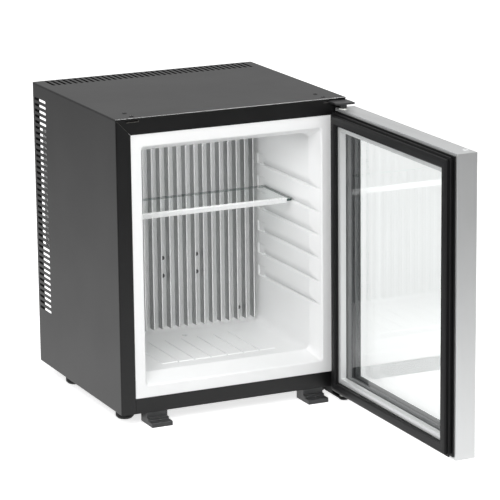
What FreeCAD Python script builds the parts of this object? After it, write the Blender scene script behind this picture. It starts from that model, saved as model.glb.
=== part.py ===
import FreeCAD, Part
import os
from math import floor, pi, tan
from FreeCAD import Vector

# A compact built-in fridge with a glass door that stands open by a right angle.
# Millimetres. +Z is up, the front faces -Y, +X is to the right seen from the front.
# The origin lies on the floor, midway between the holes of the two floor fixing tabs.

# Casing of painted steel sheet
body_width = 400.0
body_height = 480.0
sheet = 1.0
seam = 0.4
top_flange = 27.0
side_flange = 25.0
rail_height = 25.0
rail_depth = 16.0
rear_return = 11.0
rear_wall = 51.0
machine_room = 66.0

# Vents in the sides and the top
vent_width = 4.6
side_vent_pitch = 9.65
side_vent_length = 50.0
side_vent_from_rear = 8.0
side_vent_below_top = 26.0
side_vent_above_bottom = 95.0
top_vent_pitch = 9.95
top_vent_length = 42.0
top_vent_from_rear = 6.0
top_vent_from_side = 20.5

# Feet
foot_height = 20.0
foot_radius = 15.0
foot_edge = 4.0
foot_stem_radius = 4.0
foot_stem_length = 9.0
foot_from_side = 27.0
front_foot_back = 53.0
rear_foot_ahead = 89.0

# Floor fixing tabs
tab_width = 36.0
tab_from_side = 61.5
tab_hole_ahead = 9.0
tab_hole_radius = 2.75
tab_nose = 12.0
tab_plate = 7.5
tab_step = 11.0
tab_step_length = 5.5
tab_riser = 25.0
tab_seat = 8.0
tab_length = 44.0

# Inner liner
mouth_side = 44.0
mouth_top = 48.0
mouth_bottom = 45.0
mouth_radius = 8.0
cavity_radius = 14.0
flare_depth = 36.0
flare_side = 6.0
flare_end = 12.0
cavity_depth = 243.0
liner_wall = 2.0
lip_overlap = 8.0

# Grooves in the liner's side walls that carry the shelf, each with a shallow pocket at its rear end
groove_pitch = 38.7
groove_depth = 5.0
groove_upright = 5.0
groove_height = 11.0
groove_front = 4.0
groove_rear_gap = 30.0
lowest_groove = 81.0
groove_headroom = 75.0
pocket_depth = 2.5
pocket_height = 18.0
pocket_length = 30.0
pocket_rear_gap = 10.0

# Raised pads and drain of the liner's floor
pad_pitch = 29.0
pad_gap = 2.4
pad_height = 1.0
pad_front = 64.0
pad_rear_gap = 53.0
pad_side_room = 40.0
drain_from_back = 39.0
drain_bore = 3.5
drain_wall = 1.5
drain_drop = 24.0
drain_bend = 12.0
drain_outlet = 10.0

# Shelf
glass_thick = 4.0
shelf_bite = 3.0
shelf_front = 98.0
shelf_stop_gap = 1.0
shelf_seat_gap = 0.3
trim_depth = 9.0
trim_cover = 2.0
trim_bite = 5.0
trim_end_gap = 12.0

# Cold plate with upright fins
plate_base = 3.0
fin_pitch = 15.4
fin_thick = 2.0
fin_height = 16.0
plate_side_gap = 10.0
plate_floor_gap = 9.0
plate_ceiling_gap = 20.0
plate_screw_inset = 17.0
plate_screw_length = 14.0
screw_radius = 2.0
screw_head_radius = 3.4
screw_head = 2.6

# Thermoelectric unit behind the cold plate
module_height = 170.0
module_size = 40.0
module_thick = 4.0
cold_block_size = 50.0
hot_block_width = 84.0
hot_block_height = 56.0
hot_block_thick = 24.0
hot_block_stand = 3.0
clamp_pitches = 2
clamp_rise = 30.5
skin_window_gap = 6.0
lead_radius = 1.25
lead_spacing = 5.0
lead_bend = 5.0
lead_drop = 31.0
sensor_radius = 3.0
sensor_length = 25.0
sensor_side = 60.0
sensor_rise = 70.0

# Heat pipes and their two finned radiators
pipe_radius = 4.0
pipe_offsets = (9.0, 20.0)
pipe_rises = (172.0, 92.0)
pipe_bend = 30.0
pipe_from_hot_face = 6.0
radiator_pitch = 8.0
radiator_fin = 0.8
radiator_depth = 46.0
radiator_height = 200.0
radiator_bottom = 202.0
radiator_from_rear = 10.0
radiator_side_gap = 12.0
radiator_bend_gap = 10.0
pipe_end = 2.0
pipe_fit = 0.05
bracket = 2.0
bracket_foot = 18.0
bracket_margin = 14.0

# Control box with its board and mains inlet, and the drip tray
box_width = 132.0
box_height = 95.0
box_wall = 2.0
box_rear_gap = 14.0
box_from_module = 10.0
board_thick = 1.6
board_stand = 6.0
board_edge = 8.0
stand_radius = 3.0
stand_inset = 6.0
inlet_width = 27.6
inlet_height = 19.6
inlet_depth = 18.0
inlet_flange = 4.0
inlet_flange_thick = 2.0
inlet_recess = 12.0
inlet_wall = 2.4
inlet_pin_width = 4.0
inlet_pin_thick = 2.0
inlet_pin_spacing = 7.0
tray_width = 72.0
tray_depth = 46.0
tray_height = 15.0
tray_wall = 1.6
tray_gap = 3.0

# Door, a triple-glazed leaf in a silver frame
door_overhang = 1.0
door_thick = 34.0
door_below_top = 15.0
door_below_bottom = 11.0
gasket_depth = 15.0
gasket_gap = 0.3
frame_wall = 2.0
frame_rebate = 14.0
frame_lip = 23.0
frame_lip_thick = 2.0
chamber_floor = 7.0
dart_from_edge = 9.0
dart_width = 2.6
dart_depth = 3.5
dart_fit = 0.1
gasket_edge = 3.5
gasket_foot_edge = 4.5
gasket_foot = 2.2
gasket_neck = 7.5
gasket_groove = 2.4
gasket_rib = 1.0
gasket_inner = 24.0
gasket_chamfer_run = 3.0
gasket_chamfer_drop = 1.0
gasket_slope_shares = (1.0, 0.68, 0.37)
pane_setback = 2.0
pane_gap = 9.0
pane_edge_gap = 1.0
bead_inner = 33.0
bead_raise = 8.0
bead_base = 1.9
bead_gap = 0.3
magnet_width = 5.5
magnet_thick = 3.0
magnet_cover = 1.2
key_leg = 42.0
key_fit = 0.1
setting_block_length = 30.0
setting_block_inset = 60.0
mitre_reach = 45.0
plug_radius = 4.5
plug_height = 0.8
plug_stem_radius = 3.0
plug_stem = 6.0
plug_from_edge = 23.0
plug_depth = 26.0
door_open_angle = 90.0

# Hinges
pivot_from_edge = 16.5
pivot_ahead = 21.0
pin_radius = 3.0
pin_fit = 0.05
bush_radius = 4.5
bush_length = 12.0
bush_flange_radius = 7.0
bush_flange = 1.4
bush_play = 0.1
hinge_plate = 3.0
hinge_eye = 10.0
hinge_slot_from_side = 18.0
hinge_slot_width = 22.0
hinge_slot_fit = 0.3
hinge_stem_fit = 1.0
hinge_leaf_from_side = 31.0
hinge_leaf_over = 1.0
hinge_leaf_front = 30.0
hinge_leaf_corner = 6.0
hinge_tongue_margin = 6.0
notch_radius = 1.3
notch_places = (4.5, 9.5)
backing_plate = 3.0
backing_margin = 3.0
backing_length = 58.0
collar_radius = 6.0
hinge_screw_from_side = 33.5
hinge_screw_backs = (15.0, 43.0)
hinge_screw_length = 14.0
hinge_screw_head = 1.2
lower_flange_length = 35.0
lower_screw_backs = (12.0, 27.0)
boss_radius = 8.0
boss_height = 3.0

# Places worked out from the sizes above
half = body_width / 2
insulated_depth = cavity_depth + rear_wall
body_depth = insulated_depth + machine_room
front = tab_hole_ahead
rear = front + body_depth
bottom = foot_height
top = bottom + body_height
inside = half - sheet
lip_face = front + sheet
skin_front = front + insulated_depth - sheet
skin_rear = front + insulated_depth

mouth_half = half - mouth_side
mouth_low = bottom + mouth_bottom
mouth_high = top - mouth_top
cavity_half = mouth_half - flare_side
cavity_floor = mouth_low + flare_end
cavity_ceiling = mouth_high - flare_end
cavity_back = front + cavity_depth
liner_back = cavity_back + liner_wall

groove_room = cavity_ceiling - cavity_floor - lowest_groove - groove_headroom
groove_count = floor(groove_room / groove_pitch) + 1
groove_back = cavity_back - groove_rear_gap
pocket_back = cavity_back - pocket_rear_gap
shelf_groove = max(groove_count - 2, 0)
shelf_low = cavity_floor + lowest_groove + shelf_groove * groove_pitch + shelf_seat_gap
shelf_half = cavity_half + shelf_bite
trim_front = front + shelf_front
glass_front = trim_front + trim_depth - trim_bite

plate_half = cavity_half - plate_side_gap
plate_low = cavity_floor + plate_floor_gap
plate_high = cavity_ceiling - plate_ceiling_gap
plate_face = cavity_back - plate_base
fin_count = floor((2 * plate_half - fin_thick) / fin_pitch) + 1
gap_shift = fin_pitch / 2 if fin_count % 2 else 0.0
screw_column = gap_shift + floor((plate_half - plate_screw_inset - gap_shift) / fin_pitch) * fin_pitch

module_x = gap_shift
module_z = bottom + module_height
hot_face = skin_front - hot_block_stand + module_thick
module_face = hot_face - module_thick
hot_rear = hot_face + hot_block_thick
pipe_y = hot_rear - pipe_from_hot_face
clamp_x = clamp_pitches * fin_pitch

fins_rear = rear - radiator_from_rear
fins_front = fins_rear - radiator_depth
fins_low = bottom + radiator_bottom
fins_high = fins_low + radiator_height
fins_outer = half - radiator_side_gap
fins_inner = max(pipe_offsets) + pipe_bend + radiator_bend_gap

box_low_x = module_x + box_from_module
box_high_x = box_low_x + box_width
box_rear = rear - box_rear_gap
box_low = bottom + sheet
box_high = box_low + box_height
drain_radius = drain_bore + drain_wall
drain_y = cavity_back - drain_from_back
drain_z = cavity_floor - drain_drop

door_half = half + door_overhang
door_low = bottom - door_below_bottom
door_high = top - door_below_top
door_inner = front - gasket_depth - gasket_gap
door_outer = door_inner - door_thick
pivot_x = door_half - pivot_from_edge
pivot_y = front - pivot_ahead
pivot = Vector(pivot_x, pivot_y, 0)
gasket_face = pivot_from_edge
upper_plate_high = top - sheet - backing_plate
upper_plate_low = upper_plate_high - hinge_plate
lower_plate_high = door_low - bush_flange - bush_play
lower_plate_low = lower_plate_high - hinge_plate
hinge_stem_half = hinge_slot_width / 2 - hinge_stem_fit
hinge_stem_x = half - hinge_slot_from_side - hinge_slot_width / 2
hinge_screw_x = half - hinge_screw_from_side


def box(x0, x1, y0, y1, z0, z1):
    return Part.makeBox(x1 - x0, y1 - y0, z1 - z0, Vector(x0, y0, z0))


def rod(start, end, radius):
    line = end - start
    return Part.makeCylinder(radius, line.Length, start, line)


def upright(x, y, z0, z1, radius):
    return rod(Vector(x, y, z0), Vector(x, y, z1), radius)


def along_y(x, z, y0, y1, radius):
    return rod(Vector(x, y0, z), Vector(x, y1, z), radius)


def prism(corners, travel):
    wire = Part.makePolygon(corners + [corners[0]])
    return Part.Face(wire).extrude(travel)


def join(shapes):
    whole = shapes[0]
    for shape in shapes[1:]:
        whole = whole.fuse(shape)
    return whole.removeSplitter()


def less(shape, cutters):
    return shape.cut(Part.makeCompound(cutters))


def mirrored(shape):
    return shape.mirror(Vector(0, 0, 0), Vector(1, 0, 0))


def both_sides(shape):
    return Part.makeCompound([mirrored(shape), shape])


# A slot with round ends, cut through along `through`; `run` is its long direction.
def vent(centre, run, across, through, length):
    radius = vent_width / 2
    straight = length / 2 - radius
    corners = []
    for along, side in ((-1, -1), (1, -1), (1, 1), (-1, 1)):
        corners.append(centre + run * (along * straight) + across * (side * radius))
    far_tip = centre + run * (length / 2)
    near_tip = centre - run * (length / 2)
    edges = [
        Part.LineSegment(corners[0], corners[1]).toShape(),
        Part.Arc(corners[1], far_tip, corners[2]).toShape(),
        Part.LineSegment(corners[2], corners[3]).toShape(),
        Part.Arc(corners[3], near_tip, corners[0]).toShape(),
    ]
    return Part.Face(Part.Wire(edges)).extrude(through)


# A closed outline in the plane y, with equal round corners.
def rounded_rectangle(y, half_x, low, high, radius):
    lean = radius * (1 - 0.5 ** 0.5)
    edges = []
    turns = ((1, low, 1), (1, high, -1), (-1, high, -1), (-1, low, 1))
    ends = []
    for side, level, up in turns:
        corner = Vector(side * half_x, y, level)
        flat = corner + Vector(-side * radius, 0, 0)
        upright_end = corner + Vector(0, 0, up * radius)
        middle = corner + Vector(-side * lean, 0, up * lean)
        order = (flat, middle, upright_end) if side * up > 0 else (upright_end, middle, flat)
        ends.append(order)
    for index, (first, middle, last) in enumerate(ends):
        edges.append(Part.Arc(first, middle, last).toShape())
        following = ends[(index + 1) % len(ends)][0]
        edges.append(Part.LineSegment(last, following).toShape())
    return Part.Wire(edges)


# A round bar along straight runs whose corners are tangent arcs of one radius.
def bent_bar(points, bend, radius):
    edges = []
    start = points[0]
    for before, corner, after in zip(points, points[1:], points[2:]):
        inward = (before - corner).normalize()
        outward = (after - corner).normalize()
        half_turn = (pi - inward.getAngle(outward)) / 2
        trim = bend * tan(half_turn)
        first = corner + inward * trim
        last = corner + outward * trim
        bisector = (inward + outward).normalize()
        centre_distance = (trim ** 2 + bend ** 2) ** 0.5
        middle = corner + bisector * (centre_distance - bend)
        edges.append(Part.LineSegment(start, first).toShape())
        edges.append(Part.Arc(first, middle, last).toShape())
        start = last
    edges.append(Part.LineSegment(start, points[-1]).toShape())
    direction = points[1] - points[0]
    section = Part.Wire([Part.makeCircle(radius, points[0], direction)])
    return Part.Wire(edges).makePipeShell([section], True, False)


# A pan-headed screw; `start` is under the head and `run` points along the shank.
def screw(start, run, length, head_height=screw_head):
    head = rod(start - run * head_height, start, screw_head_radius)
    shank = rod(start, start + run * length, screw_radius)
    return head.fuse(shank).removeSplitter()


def hinge_slot(side):
    x0 = half - hinge_slot_from_side - hinge_slot_width
    low = upper_plate_low - hinge_slot_fit
    high = upper_plate_high + hinge_slot_fit
    slot = box(x0, x0 + hinge_slot_width, front - sheet, front + 2 * sheet, low, high)
    return slot if side > 0 else mirrored(slot)


def top_panel():
    plate = box(-half, half, front, rear, top - sheet, top)
    corners = [
        Vector(-half + seam, front, top - sheet),
        Vector(half - seam, front, top - sheet),
        Vector(half - side_flange - seam, front, top - top_flange),
        Vector(-half + side_flange + seam, front, top - top_flange),
    ]
    flange = prism(corners, Vector(0, sheet, 0))
    back = box(-inside + seam, inside - seam, rear - sheet, rear, top - rear_return, top - sheet)
    room = body_width - 2 * top_vent_from_side
    count = floor(room / top_vent_pitch) + 1
    middle_y = rear - top_vent_from_rear - top_vent_length / 2
    cutters = [hinge_slot(1), hinge_slot(-1)]
    for index in range(count):
        x = (index - (count - 1) / 2) * top_vent_pitch
        centre = Vector(x, middle_y, top - 2 * sheet)
        through = Vector(0, 0, 3 * sheet)
        cutters.append(vent(centre, Vector(0, 1, 0), Vector(1, 0, 0), through, top_vent_length))
    for x in (-hinge_screw_x, hinge_screw_x):
        for back_by in hinge_screw_backs:
            cutters.append(upright(x, front + back_by, top - 2 * sheet, top + sheet, screw_radius))
    return less(join([plate, flange, back]), cutters)


def right_side_panel():
    high = top - sheet - seam
    plate = box(inside, half, front, rear, bottom, high)
    corners = [
        Vector(half, front, bottom),
        Vector(half, front, high),
        Vector(half - side_flange, front, top - top_flange - seam),
        Vector(half - side_flange, front, bottom),
    ]
    flange = prism(corners, Vector(0, sheet, 0))
    back = box(half - rear_return, half, rear - sheet, rear, bottom + rear_return, top - rear_return - seam)
    room = body_height - side_vent_below_top - side_vent_above_bottom
    count = floor(room / side_vent_pitch) + 1
    middle_y = rear - side_vent_from_rear - side_vent_length / 2
    cutters = []
    for index in range(count):
        z = top - side_vent_below_top - index * side_vent_pitch
        centre = Vector(half - 2 * sheet, middle_y, z)
        through = Vector(3 * sheet, 0, 0)
        cutters.append(vent(centre, Vector(0, 1, 0), Vector(0, 0, 1), through, side_vent_length))
    return less(join([plate, flange, back]), cutters)


def bottom_panel():
    plate = box(-inside, inside, front + sheet, rear, bottom, bottom + sheet)
    back = box(-inside, inside, rear - sheet, rear, bottom, bottom + rear_return - seam)
    cutters = []
    for shape in feet().values():
        cutters.append(shape)
    cutters.append(fixing_tab_screws())
    cutters.append(lower_hinge_screws())
    return less(join([plate, back]), cutters)


def bottom_front_rail():
    reach = half - side_flange - seam
    face = box(-reach, reach, front, front + sheet, bottom, bottom + rail_height)
    shelf = box(-reach, reach, front, front + rail_depth, bottom + sheet, bottom + 2 * sheet)
    cutters = [fixing_tab_screws(), lower_hinge_screws()]
    return less(join([face, shelf]), cutters)


def liner_core(grow, start):
    mouth = (mouth_half + grow, mouth_low - grow, mouth_high + grow, mouth_radius + grow)
    inner = (cavity_half + grow, cavity_floor - grow, cavity_ceiling + grow, cavity_radius + grow)
    sections = [
        rounded_rectangle(lip_face, *mouth),
        rounded_rectangle(front + flare_depth, *inner),
        rounded_rectangle(cavity_back + grow, *inner),
    ]
    if start < lip_face:
        sections.insert(0, rounded_rectangle(start, *mouth))
    return Part.makeLoft(sections, True, True)


# The hollows of the grooves and pockets on both sides, or with the liner's wall round them.
def grooves(grow):
    inner = cavity_half - groove_depth
    outer = cavity_half + groove_depth + grow
    start = lip_face if grow else front + groove_front
    run = Vector(0, groove_back + grow - start, 0)
    shapes = []
    for index in range(groove_count):
        low = cavity_floor + lowest_groove + index * groove_pitch
        corners = [
            Vector(inner, start, low - grow),
            Vector(outer, start, low - grow),
            Vector(outer, start, low + groove_upright + grow / 2),
            Vector(cavity_half, start, low + groove_height + grow),
            Vector(inner, start, low + groove_height + grow),
        ]
        pocket_front = pocket_back - pocket_length
        pocket = box(inner, cavity_half + pocket_depth + grow, pocket_front - grow, pocket_back + grow,
                     low - grow, low + pocket_height + grow)
        shapes.append(prism(corners, run).fuse(pocket))
    right = Part.makeCompound(shapes)
    return [right, mirrored(right)]


def floor_pads():
    room = 2 * (cavity_half - pad_side_room)
    count = floor(room / pad_pitch)
    pads = []
    for index in range(count):
        x = (index - (count - 1) / 2) * pad_pitch
        reach = (pad_pitch - pad_gap) / 2
        low = cavity_floor - liner_wall / 2
        y0 = front + pad_front
        y1 = cavity_back - pad_rear_gap
        pads.append(box(x - reach, x + reach, y0, y1, low, cavity_floor + pad_height))
    return pads


def inner_liner():
    reach = half - side_flange + lip_overlap
    low = bottom + rail_height - lip_overlap
    high = top - top_flange + lip_overlap
    lip = box(-reach, reach, lip_face, lip_face + liner_wall, low, high)
    shell = lip.fuse([liner_core(liner_wall, lip_face)] + grooves(liner_wall))
    shell = less(shell, [liner_core(0.0, lip_face - liner_wall)] + grooves(0.0))
    shell = shell.fuse(floor_pads())
    cutters = [upright(0, drain_y, drain_z, cavity_floor + liner_wall, drain_radius)]
    cutters.append(cold_block())
    cutters.append(plate_screws())
    return less(shell, cutters).removeSplitter()


def cold_plate():
    base = box(-plate_half, plate_half, plate_face, cavity_back, plate_low, plate_high)
    fin_tip = plate_face - fin_height
    fins = []
    for index in range(fin_count):
        x = (index - (fin_count - 1) / 2) * fin_pitch
        fins.append(box(x - fin_thick / 2, x + fin_thick / 2, fin_tip, plate_face, plate_low, plate_high))
    return less(join([base] + fins), [plate_screws()])


# Four long screws that clamp the module, and four short ones at the plate's corners.
def plate_screws():
    run = Vector(0, 1, 0)
    shapes = []
    for x in (module_x - clamp_x, module_x + clamp_x):
        for z in (module_z - clamp_rise / 2, module_z + clamp_rise / 2):
            shapes.append(screw(Vector(x, plate_face, z), run, hot_face + hot_block_thick / 2 - plate_face))
    for x in (-screw_column, screw_column):
        for z in (plate_low + plate_screw_inset, plate_high - plate_screw_inset):
            shapes.append(screw(Vector(x, plate_face, z), run, plate_screw_length))
    return Part.makeCompound(shapes)


def cold_block():
    reach = cold_block_size / 2
    low = module_z - reach
    high = module_z + reach
    return box(module_x - reach, module_x + reach, cavity_back, module_face, low, high)


def thermoelectric_module():
    reach = module_size / 2
    return box(module_x - reach, module_x + reach, module_face, hot_face, module_z - reach, module_z + reach)


def hot_block_outline(grow):
    width = hot_block_width / 2 + grow
    height = hot_block_height / 2 + grow
    return box(module_x - width, module_x + width, hot_face, hot_rear, module_z - height, module_z + height)


def hot_block():
    return less(hot_block_outline(0.0), [plate_screws(), pipe_holes()])


# Each pipe climbs out of the hot block, bends outwards and runs to the end of its radiator.
def pipe_route(side, offset, rise):
    x = module_x + side * offset
    level = module_z + rise
    end = side * (fins_outer + pipe_end)
    return [
        Vector(x, pipe_y, module_z - hot_block_height / 2),
        Vector(x, pipe_y, level),
        Vector(end, pipe_y, level),
    ]


def pipe_routes():
    routes = []
    for side in (-1, 1):
        for offset, rise in zip(pipe_offsets, pipe_rises):
            routes.append(pipe_route(side, offset, rise))
    return routes


def heat_pipes():
    return Part.makeCompound([bent_bar(route, pipe_bend, pipe_radius) for route in pipe_routes()])


# Straight holes round the upright and the level stretch of every pipe.
def pipe_holes():
    radius = pipe_radius + pipe_fit
    shapes = []
    for foot, corner, end in pipe_routes():
        below = foot - Vector(0, 0, sheet)
        shapes.append(rod(below, corner - Vector(0, 0, pipe_bend), radius))
        turn_end = corner + (end - corner).normalize() * pipe_bend
        shapes.append(rod(turn_end, end, radius))
    return Part.makeCompound(shapes)


def radiator(side):
    inner = module_x + side * fins_inner
    outer = side * fins_outer
    count = floor(abs(outer - inner) / radiator_pitch) + 1
    fins = []
    for index in range(count):
        x = outer - side * index * radiator_pitch
        x0 = min(x, x - side * radiator_fin)
        fins.append(box(x0, x0 + radiator_fin, fins_front, fins_rear, fins_low, fins_high))
    return Part.makeCompound(fins).cut(pipe_holes())


# A bent strip that carries the pipes of one side on the rear skin.
def radiator_bracket(side):
    inner = module_x + side * fins_inner
    count = floor(abs(side * fins_outer - inner) / radiator_pitch) + 1
    last_fin = side * fins_outer - side * (count - 1) * radiator_pitch
    web_x = last_fin - side * radiator_bend_gap / 2
    low = module_z + min(pipe_rises) - bracket_margin
    high = module_z + max(pipe_rises) + bracket_margin
    web = box(web_x - bracket / 2, web_x + bracket / 2, skin_rear, pipe_y + bracket_margin, low, high)
    foot_x = web_x + side * bracket_foot
    foot = box(min(web_x, foot_x), max(web_x, foot_x), skin_rear, skin_rear + bracket, low, high)
    return join([web, foot]).cut(pipe_holes())


def rear_skin():
    plate = box(-inside, inside, skin_front, skin_rear, bottom + sheet, top - sheet)
    width = hot_block_width / 2 + skin_window_gap
    height = hot_block_height / 2 + skin_window_gap
    window = box(module_x - width, module_x + width, skin_front - sheet, skin_rear + sheet,
                 module_z - height, module_z + height)
    return less(plate, [window, drain_bar()])


def lead_routes():
    routes = []
    for side in (-1, 1):
        x = module_x + module_size / 2 - lead_spacing + side * lead_spacing / 2
        y = (module_face + hot_face) / 2
        start = Vector(x, y, module_z - module_size / 2)
        low = Vector(x, y, module_z - lead_drop)
        out = Vector(x, (skin_rear + box_rear) / 2, module_z - lead_drop)
        routes.append([start, low, out, Vector(out.x, out.y, box_high)])
    return routes


def module_leads():
    return Part.makeCompound([bent_bar(route, lead_bend, lead_radius) for route in lead_routes()])


def temperature_sensor():
    y = liner_back + sensor_radius
    low = module_z + sensor_rise
    return upright(module_x - sensor_side, y, low, low + sensor_length, sensor_radius)


def drain_route():
    return [
        Vector(0, drain_y, cavity_floor),
        Vector(0, drain_y, drain_z),
        Vector(0, skin_rear + drain_outlet, drain_z),
    ]


def drain_bar():
    return bent_bar(drain_route(), drain_bend, drain_radius)


def drain_tube():
    return drain_bar().cut(bent_bar(drain_route(), drain_bend, drain_bore))


def insulation_foam():
    block = box(-inside, inside, lip_face, skin_front, bottom + sheet, top - sheet)
    lip_reach = half - side_flange + lip_overlap
    lip_low = bottom + rail_height - lip_overlap
    lip_high = top - top_flange + lip_overlap
    lip = box(-lip_reach, lip_reach, lip_face, lip_face + liner_wall, lip_low, lip_high)
    pocket = box(hinge_stem_x - hinge_slot_width / 2, hinge_stem_x + hinge_slot_width / 2, lip_face,
                 front + backing_length + backing_margin, upper_plate_low, upper_plate_high)
    module_space = box(module_x - module_size / 2, module_x + module_size / 2, module_face, skin_front,
                       module_z - lead_drop - 2 * lead_radius, module_z + module_size / 2)
    cutters = grooves(liner_wall) + [
        liner_core(liner_wall, lip_face),
        lip,
        both_sides(pocket),
        hinge_backing_plates(),
        hinge_screws(),
        bottom_front_rail(),
        plate_screws(),
        cold_block(),
        module_space,
        hot_block_outline(skin_window_gap),
        temperature_sensor(),
        drain_bar(),
        fixing_tab_screws(),
        lower_hinge_screws(),
    ]
    foam = block
    for cutter in cutters + list(feet().values()):
        foam = foam.cut(cutter)
    return foam


def control_box():
    outer = box(box_low_x, box_high_x, skin_rear, box_rear, box_low, box_high)
    inner = box(box_low_x + box_wall, box_high_x - box_wall, skin_rear - box_wall, box_rear - box_wall,
                box_low + box_wall, box_high - box_wall)
    x, z = inlet_centre()
    hole = box(x - inlet_width / 2, x + inlet_width / 2, box_rear - 2 * box_wall, box_rear + box_wall,
               z - inlet_height / 2, z + inlet_height / 2)
    return less(outer, [inner, hole])


def inlet_centre():
    return (box_low_x + box_high_x) / 2, (box_low + box_high) / 2


# The board stands on four pillars on the rear skin, inside the box.
def control_board():
    x0 = box_low_x + board_edge
    x1 = box_high_x - board_edge
    z0 = box_low + board_edge
    z1 = box_high - board_edge
    y0 = skin_rear + board_stand
    shapes = [box(x0, x1, y0, y0 + board_thick, z0, z1)]
    for x in (x0 + stand_inset, x1 - stand_inset):
        for z in (z0 + stand_inset, z1 - stand_inset):
            shapes.append(along_y(x, z, skin_rear, y0, stand_radius))
    return join(shapes)


# A recessed inlet with three flat pins, let into the control box.
def mains_inlet():
    x, z = inlet_centre()
    width = inlet_width / 2
    height = inlet_height / 2
    body = box(x - width, x + width, box_rear - inlet_depth, box_rear, z - height, z + height)
    flange = box(x - width - inlet_flange, x + width + inlet_flange, box_rear, box_rear + inlet_flange_thick,
                 z - height - inlet_flange, z + height + inlet_flange)
    recess = box(x - width + inlet_wall, x + width - inlet_wall, box_rear - inlet_recess,
                 box_rear + 2 * inlet_flange_thick, z - height + inlet_wall, z + height - inlet_wall)
    pins = []
    for index in (-1, 0, 1):
        pin_x = x + index * inlet_pin_spacing
        pins.append(box(pin_x - inlet_pin_thick / 2, pin_x + inlet_pin_thick / 2, box_rear - inlet_recess,
                        box_rear - inlet_flange_thick, z - inlet_pin_width / 2, z + inlet_pin_width / 2))
    return join([body.fuse(flange).cut(recess)] + pins)


def drip_tray():
    high_x = box_low_x - tray_gap
    low_x = high_x - tray_width
    low = bottom + sheet
    y0 = skin_rear + tray_gap
    outer = box(low_x, high_x, y0, y0 + tray_depth, low, low + tray_height)
    inner = box(low_x + tray_wall, high_x - tray_wall, y0 + tray_wall, y0 + tray_depth - tray_wall,
                low + tray_wall, low + 2 * tray_height)
    return outer.cut(inner)


def foot(x, y):
    profile = [
        Vector(0, 0, 0),
        Vector(foot_radius - foot_edge, 0, 0),
        Vector(foot_radius, 0, foot_edge),
        Vector(foot_radius, 0, foot_height),
        Vector(foot_stem_radius, 0, foot_height),
        Vector(foot_stem_radius, 0, foot_height + foot_stem_length),
        Vector(0, 0, foot_height + foot_stem_length),
    ]
    face = Part.Face(Part.makePolygon(profile + [profile[0]]))
    shape = face.revolve(Vector(0, 0, 0), Vector(0, 0, 1), 360)
    shape.translate(Vector(x, y, 0))
    return shape


def feet():
    x = half - foot_from_side
    front_y = front + front_foot_back
    rear_y = rear - rear_foot_ahead
    return {
        "front_left_foot": foot(-x, front_y),
        "front_right_foot": foot(x, front_y),
        "rear_left_foot": foot(-x, rear_y),
        "rear_right_foot": foot(x, rear_y),
    }


# A stepped foot plate that reaches out under the door, with the hole for a floor screw.
def fixing_tab():
    seat_y = front + seam
    outline = [
        Vector(0, -tab_nose, 0),
        Vector(0, -tab_nose, tab_plate),
        Vector(0, seat_y - tab_step_length, tab_plate),
        Vector(0, seat_y - tab_step_length, tab_step),
        Vector(0, seat_y, tab_step),
        Vector(0, seat_y, bottom),
        Vector(0, seat_y + tab_length, bottom),
        Vector(0, seat_y + tab_length, bottom - tab_seat),
        Vector(0, seat_y + tab_riser, bottom - tab_seat),
        Vector(0, seat_y + tab_riser, 0),
    ]
    shape = prism(outline, Vector(tab_width, 0, 0))
    shape.translate(Vector(half - tab_from_side - tab_width / 2, 0, 0))
    hole = upright(half - tab_from_side, 0, -tab_plate, 2 * tab_plate, tab_hole_radius)
    return less(shape, [hole, fixing_tab_screws()])


def fixing_tab_screws():
    y = front + seam + (tab_riser + tab_length) / 2
    start = Vector(half - tab_from_side, y, bottom - tab_seat)
    return both_sides(screw(start, Vector(0, 0, 1), tab_seat + tab_seat))


def hinge_backing_plates():
    reach = hinge_slot_width / 2 + backing_margin
    plate = box(hinge_stem_x - reach, hinge_stem_x + reach, front + 2 * sheet, front + backing_length,
                upper_plate_high, top - sheet)
    return less(both_sides(plate), [hinge_screws()])


# Two screws a side through the top: the right pair holds the hinge, the left pair the spare backing plate.
def hinge_screws():
    shapes = []
    for x in (-hinge_screw_x, hinge_screw_x):
        for back_by in hinge_screw_backs:
            start = Vector(x, front + back_by, top)
            shapes.append(screw(start, Vector(0, 0, -1), hinge_screw_length, hinge_screw_head))
    return Part.makeCompound(shapes)


# A tongue under the top, a neck through the slot and a leaf with two notches over the door's corner.
def upper_hinge_plate():
    low = upper_plate_low
    high = upper_plate_high
    left = half - hinge_leaf_from_side
    right = half + hinge_leaf_over
    neck_right = hinge_stem_x + hinge_stem_half
    tongue_front = front + 2 * sheet
    tongue_left = hinge_screw_x - hinge_tongue_margin
    tongue = box(tongue_left, neck_right, tongue_front, front + backing_length, low, high)
    leaf_rear = front - sheet
    neck = box(left, neck_right, leaf_rear, tongue_front, low, high)
    leaf_front = front - hinge_leaf_front
    corners = [
        Vector(left, leaf_rear, low),
        Vector(left, leaf_front + hinge_leaf_corner, low),
        Vector(left + hinge_leaf_corner, leaf_front, low),
        Vector(right, leaf_front, low),
        Vector(right, leaf_rear, low),
    ]
    leaf = prism(corners, Vector(0, 0, hinge_plate))
    cutters = [upper_hinge_pin(), hinge_screws()]
    for ahead in notch_places:
        cutters.append(upright(right, front - ahead, low - sheet, high + sheet, notch_radius))
    return less(join([tongue, neck, leaf]), cutters)


# The pin is riveted into its plate; its collar keeps the door's bush away from the plate.
def upper_hinge_pin():
    pin_low = door_high - bush_length + bush_play
    pin = upright(pivot_x, pivot_y, pin_low, upper_plate_high, pin_radius)
    collar = upright(pivot_x, pivot_y, door_high + bush_flange + bush_play, upper_plate_low, collar_radius)
    return pin.fuse(collar).removeSplitter()


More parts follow.
